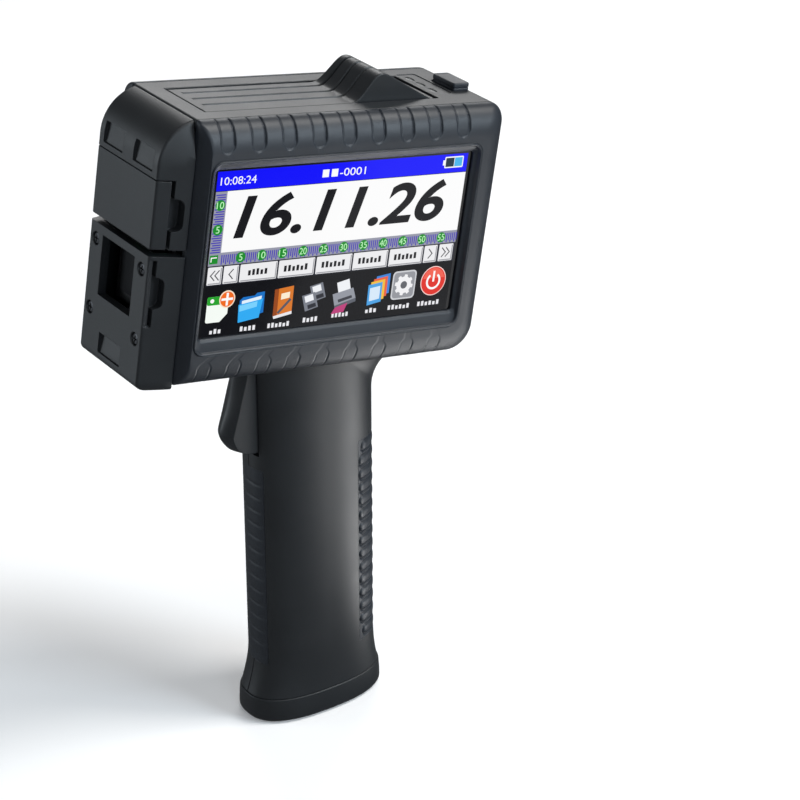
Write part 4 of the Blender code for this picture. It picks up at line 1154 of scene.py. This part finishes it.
def words(picture, u, v, width, rgb, layer, height=1.6):
    """Row of small blocks that stands for a label."""
    pattern = (1.0, 0.75, 0.9, 0.7, 1.0, 0.8, 0.95)
    count = max(3, int(round(width / 1.45)))
    cell = width / count
    for k in range(count):
        tall = height * pattern[(k + count) % len(pattern)]
        left = u - width / 2 + k * cell
        picture.bar(left, v + height / 2 - tall, left + cell * 0.62, v + height / 2, rgb, layer)


def button_row(picture):
    """Two arrow keys at each end and five word keys between them."""
    picture.bar(0, 30.4, PICTURE[0], 36.9, (40, 42, 52), 2)
    keys = [(0.2, 5.4), (6.0, 11.4), (12.0, 25.7), (26.3, 39.8), (40.5, 54.1), (54.7, 68.2), (68.9, 82.2),
            (82.8, 88.0), (88.8, 94.4)]
    for index, (u0, u1) in enumerate(keys):
        picture.bar(u0, 30.8, u1, 36.6, (236, 236, 238), 3, 0.3)
        picture.bar(u0 + 0.4, 36.05, u1 - 0.2, 36.4, KEY_SHADE, 4)
        picture.bar(u1 - 0.55, 31.2, u1 - 0.2, 36.4, KEY_SHADE, 4)
        middle = (u0 + u1) / 2
        if 2 <= index <= 6:
            words(picture, middle, 33.6, 7.6 if index == 2 else 9.4, (24, 24, 26), 4, 2.1)
            continue
        turn = -1 if index < 2 else 1
        for shift in ((-0.8, 0.8) if index in (0, 8) else (0.0,)):
            picture.stroke([(middle + shift - turn * 0.7, 32.1), (middle + shift + turn * 0.7, 33.6),
                            (middle + shift - turn * 0.7, 35.1)], 0.36, (60, 60, 64), 4)


def icons(picture):
    """Eight plain pictograms over their labels."""
    shape, bar, disc, stroke = picture.shape, picture.bar, picture.disc, picture.stroke
    # new page
    bar(1.2, 40.6, 9.0, 49.2, (244, 250, 244), 3, 0.6)
    bar(1.2, 40.6, 9.0, 43.4, (36, 160, 40), 4, 0.5)
    disc(3.0, 42.0, 0.7, WHITE, 5)
    shape([(6.4, 49.2), (9.0, 46.6), (9.0, 49.2)], BLACK, 5)
    disc(8.4, 41.8, 2.9, (250, 226, 200), 5)
    disc(8.4, 41.8, 2.5, (240, 106, 24), 6)
    stroke([(6.7, 41.8), (10.1, 41.8)], 0.8, WHITE, 7)
    stroke([(8.4, 40.1), (8.4, 43.5)], 0.8, WHITE, 7)
    # folder
    shape([(13.2, 42.8), (14.4, 41.8), (18.6, 41.6), (19.4, 40.8), (22.2, 40.6), (22.4, 47.6), (13.6, 49.6)],
          (18, 112, 196), 3)
    shape([(14.0, 43.0), (21.2, 41.9), (21.0, 46.8), (14.2, 47.6)], (226, 240, 250), 4)
    shape([(12.9, 44.2), (20.0, 43.2), (21.8, 42.8), (20.9, 49.2), (13.3, 50.2)], (46, 170, 242), 5)
    shape([(13.3, 44.5), (19.8, 43.6), (19.7, 45.4), (13.4, 46.5)], (120, 208, 252), 6)
    # book with a pencil
    shape([(26.0, 40.4), (33.0, 39.7), (33.2, 48.2), (26.2, 49.4)], (216, 118, 34), 3)
    shape([(26.0, 40.4), (27.5, 40.25), (27.7, 49.1), (26.2, 49.4)], (150, 70, 20), 4)
    shape([(28.6, 42.0), (31.8, 41.6), (31.8, 43.6), (28.6, 44.0)], (250, 236, 210), 4)
    shape([(26.3, 49.4), (33.2, 48.2), (33.3, 49.2), (26.6, 50.3)], (232, 232, 236), 4)
    stroke([(28.2, 48.2), (32.0, 44.4)], 0.9, (84, 86, 96), 5)
    # two discs
    for du, dv, layer in ((2.6, -1.6, 3), (0.0, 1.4, 5)):
        for outline, rgb, above in (
                (((36.6, 42.2), (41.4, 41.2), (43.2, 46.4), (38.4, 47.6)), (120, 124, 134), 0),
                (((37.5, 42.5), (40.6, 41.8), (41.3, 43.9), (38.2, 44.6)), (236, 238, 242), 1),
                (((39.0, 45.5), (42.0, 44.9), (42.5, 46.2), (39.4, 46.9)), (40, 42, 50), 1)):
            shape([(u + du, v + dv) for u, v in outline], rgb, layer + above)
    # small printer
    shape([(49.6, 40.4), (54.2, 39.4), (55.4, 43.6), (50.8, 44.6)], (238, 240, 244), 3)
    shape([(48.4, 44.2), (56.2, 42.6), (57.6, 46.2), (49.6, 48.2)], (146, 150, 160), 4)
    shape([(49.6, 48.2), (57.6, 46.2), (57.7, 47.4), (49.8, 49.5)], (92, 96, 106), 5)
    shape([(50.6, 46.2), (55.8, 45.1), (56.2, 46.0), (51.0, 47.2)], (60, 62, 70), 5)
    shape([(50.0, 48.8), (54.6, 47.6), (53.4, 50.6), (48.6, 51.0)], (186, 60, 120), 6)
    # sheets
    for k, rgb in enumerate(((60, 130, 214), (232, 96, 60), (240, 190, 60), (72, 160, 226))):
        u, v = 62.2 + 0.95 * (3 - k), 39.2 + 0.9 * k
        shape([(u, v + 0.5), (u + 5.4, v - 0.2), (u + 5.6, v + 6.6), (u + 0.2, v + 7.5)], rgb, 3 + k)
    shape([(62.9, 43.5), (66.9, 43.0), (67.0, 47.4), (63.1, 48.0)], (214, 232, 248), 7)
    # gear
    bar(71.6, 38.7, 81.0, 48.5, (206, 208, 212), 3, 1.4)
    bar(72.1, 39.2, 80.5, 48.0, (148, 150, 156), 4, 1.1)
    teeth = []
    for k in range(96):
        angle, out = 2 * math.pi * k / 96, 3.6 if k % 12 < 6 else 2.9
        teeth.append((76.3 + out * math.sin(angle), 43.6 - out * math.cos(angle)))
    shape(teeth, (240, 240, 242), 5)
    disc(76.3, 43.6, 1.3, (96, 98, 104), 6)
    # power
    disc(88.2, 43.3, 5.1, (250, 214, 208), 3)
    disc(88.2, 43.3, 4.8, (222, 44, 30), 4)
    shape([(88.2 + 4.3 * math.sin(a), 43.1 - 4.3 * math.cos(a))
           for a in np.radians(np.linspace(-80, 80, 24))], (240, 96, 78), 5)
    picture.ring(88.2, 43.4, 2.9, 0.75, WHITE, 6, 35, 325)
    stroke([(88.2, 40.2), (88.2, 43.2)], 0.75, WHITE, 6)
    for u, v, width in ((5.5, 52.2, 4.6), (17.5, 52.4, 6.2), (29.0, 52.4, 8.6), (41.0, 51.9, 6.0),
                        (52.4, 51.4, 6.8), (64.6, 51.2, 4.8), (75.6, 51.0, 9.0), (87.6, 50.9, 9.2)):
        words(picture, u, v, width, LABEL, 4)


def screen_picture():
    """The whole picture on the screen."""
    picture = Picture()
    picture.bar(0, 0, *PICTURE, BLACK, 1)
    picture.bar(4.2, 6.4, PICTURE[0], 26.2, WHITE, 2)
    title_bar(picture)
    rulers(picture)
    button_row(picture)
    icons(picture)
    picture.number("16.11.26", 8.0, 8.2, 80.0, 13.9, (16, 16, 18), 3, 0.22, 0.022)
    return picture.finished()


# ---------------------------------------------------------------- build

def build():
    """Make every piece, and give the CAD nodes that stay a look of their own."""
    for make in (front_bezel, back_cover, main_frame, nose_shroud, nose_door, nozzle_plate, cartridge_lid,
                 power_button, touch_glass):
        place(make(), make.__name__)
    for node in LIGHTS:
        place(status_light(node), node)
    for k in range(1, 5):
        place(screw(f"plate_screw_{k}", HEAD, "X", True), f"plate_screw_{k}")
        place(screw(f"back_screw_{k}", HEAD, "Y", False), f"back_screw_{k}")
    for k in (1, 2):
        place(screw(f"base_screw_{k}", GRIP, "Z", True), f"base_screw_{k}", GRIP)
        place(screw(f"grip_screw_{k}", GRIP, "Y", False), f"grip_screw_{k}", GRIP)
    place(grip_shell(-1), "grip_shell_near", GRIP)
    place(grip_shell(1), "grip_shell_far", GRIP)
    for node in ("front_grip", "rear_grip"):
        place(rubber_strip(node), node, GRIP)
    place(base_cap(), "base_cap", GRIP)
    place(trigger(), "trigger", GRIP)
    place(trigger_pin(), "trigger_pin", GRIP)

    picture = screen_picture()
    picture.data.transform(Matrix.Scale(MM, 4) @ HEAD)
    picture.data.materials.append(lit_picture())
    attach(picture, "printer")

    special = {"cartridge_nozzle": metal("nozzle_look", (0.010, 0.010, 0.011), 0.42, (1, 12, 1))}
    for name, node in frame["nodes"].items():
        if not node.hide_render:
            node.data.materials.clear()
            node.data.materials.append(special.get(name) or LOOKS[SLOT_OF[name]])


# ---------------------------------------------------------------- studio

def floor():
    """Pale matt floor with a faint mottle."""
    n = Nodes("floor_look")
    tone = n.mix(n.noise(6, 3.0), (0.90, 0.90, 0.905), (0.93, 0.93, 0.93))
    n.bump(n.noise(300, 3.0), 0.00005, 0.3)
    n.set(Base_Color=tone, Roughness=n.spread(n.noise(30, 3.0), 0.3, 0.7, 0.75, 0.85), Specular_IOR_Level=0.1,
          Emission_Color=tone, Emission_Strength=0.14)
    sheet = mesh_object("floor", [(-4, -4, 0), (4, -4, 0), (4, 4, 0), (-4, 4, 0)], [(0, 1, 2, 3)])
    sheet.data.materials.append(n.material)
    sheet.visible_glossy = False


def softbox(name, place_at, aim, size, watts, colour=(1.0, 1.0, 1.0)):
    """Rectangular area light aimed at a point."""
    lamp = bpy.data.lights.new(name, "AREA")
    lamp.shape = "RECTANGLE"
    lamp.size, lamp.size_y = size
    lamp.energy = watts
    lamp.color = colour
    holder = linked(name, lamp)
    holder.location = place_at
    holder.rotation_mode = "QUATERNION"
    holder.rotation_quaternion = (Vector(aim) - Vector(place_at)).to_track_quat("-Z", "Y")


def glow_card(name, corners, strength, colour=(1.0, 1.0, 1.0)):
    """Bright card that is only seen in reflections."""
    n = Nodes(f"{name}_look")
    tone = n.mix(n.noise(3, 2.0), tint(colour, 0.96), colour)
    n.set(Base_Color=(0.0, 0.0, 0.0), Roughness=1.0, Specular_IOR_Level=0.0, Emission_Color=tone,
          Emission_Strength=strength)
    card = mesh_object(name, corners, [(0, 1, 2, 3)])
    card.data.materials.append(n.material)
    card.visible_camera = card.visible_diffuse = card.visible_shadow = card.visible_transmission = False


def studio():
    """Floor, lights, background and camera."""
    cool, pale_blue = (0.78, 0.90, 1.0), (0.84, 0.93, 1.0)
    floor()
    middle = (0.0, 0.0, 0.13)
    softbox("top_light", (0.05, -0.35, 1.35), middle, (0.9, 0.5), 2.5)
    softbox("key_light", (0.73, -0.46, 1.24), middle, (0.40, 0.40), 12.5, (1.0, 0.98, 0.95))
    softbox("front_light", (0.62, -1.02, 0.58), middle, (0.45, 0.35), 8.5, cool)
    softbox("near_fill", (-0.35, -1.30, 0.45), middle, (0.5, 0.5), 3.0, cool)
    softbox("left_fill", (-0.95, 0.70, 0.30), (0, 0, 0.17), (0.5, 0.6), 4.0, pale_blue)
    softbox("back_fill", (0.64, 0.92, 0.74), middle, (0.7, 0.4), 4.8)
    glow_card("right_card", [(0.055, -0.042, 0.001), (0.205, -0.245, 0.001), (0.30, -0.176, 0.001),
                             (0.065, -0.026, 0.001)], 9.5)
    glow_card("screen_card", [(0.084, -0.244, 0.0005), (0.441, -0.599, 0.0005), (0.52, -0.52, 0.0005),
                              (0.16, -0.17, 0.0005)], 1.2)
    glow_card("left_card", [(-0.16, 0.14, 0.001), (-0.30, 0.48, 0.001), (-0.52, 0.30, 0.001),
                            (-0.20, 0.10, 0.001)], 0.9, pale_blue)
    world = bpy.data.worlds.new("studio")
    world.use_nodes = True
    world.node_tree.nodes["Background"].inputs["Color"].default_value = (0.92, 0.96, 1.0, 1.0)
    world.node_tree.nodes["Background"].inputs["Strength"].default_value = 0.15
    bpy.context.scene.world = world
    bpy.context.scene.view_settings.view_transform = "Standard"

    lens = bpy.data.cameras.new("camera")
    lens.lens, lens.sensor_width = 115.65, 36.0
    lens.clip_start, lens.clip_end = 0.05, 20.0
    camera = linked("camera", lens)
    camera.location = (-0.4074, -0.64445, 0.50954)
    camera.rotation_mode = "QUATERNION"
    camera.rotation_quaternion = Vector((0.50565, 0.73044, -0.45911)).to_track_quat("-Z", "Y")
    bpy.context.scene.camera = camera


build()
studio()
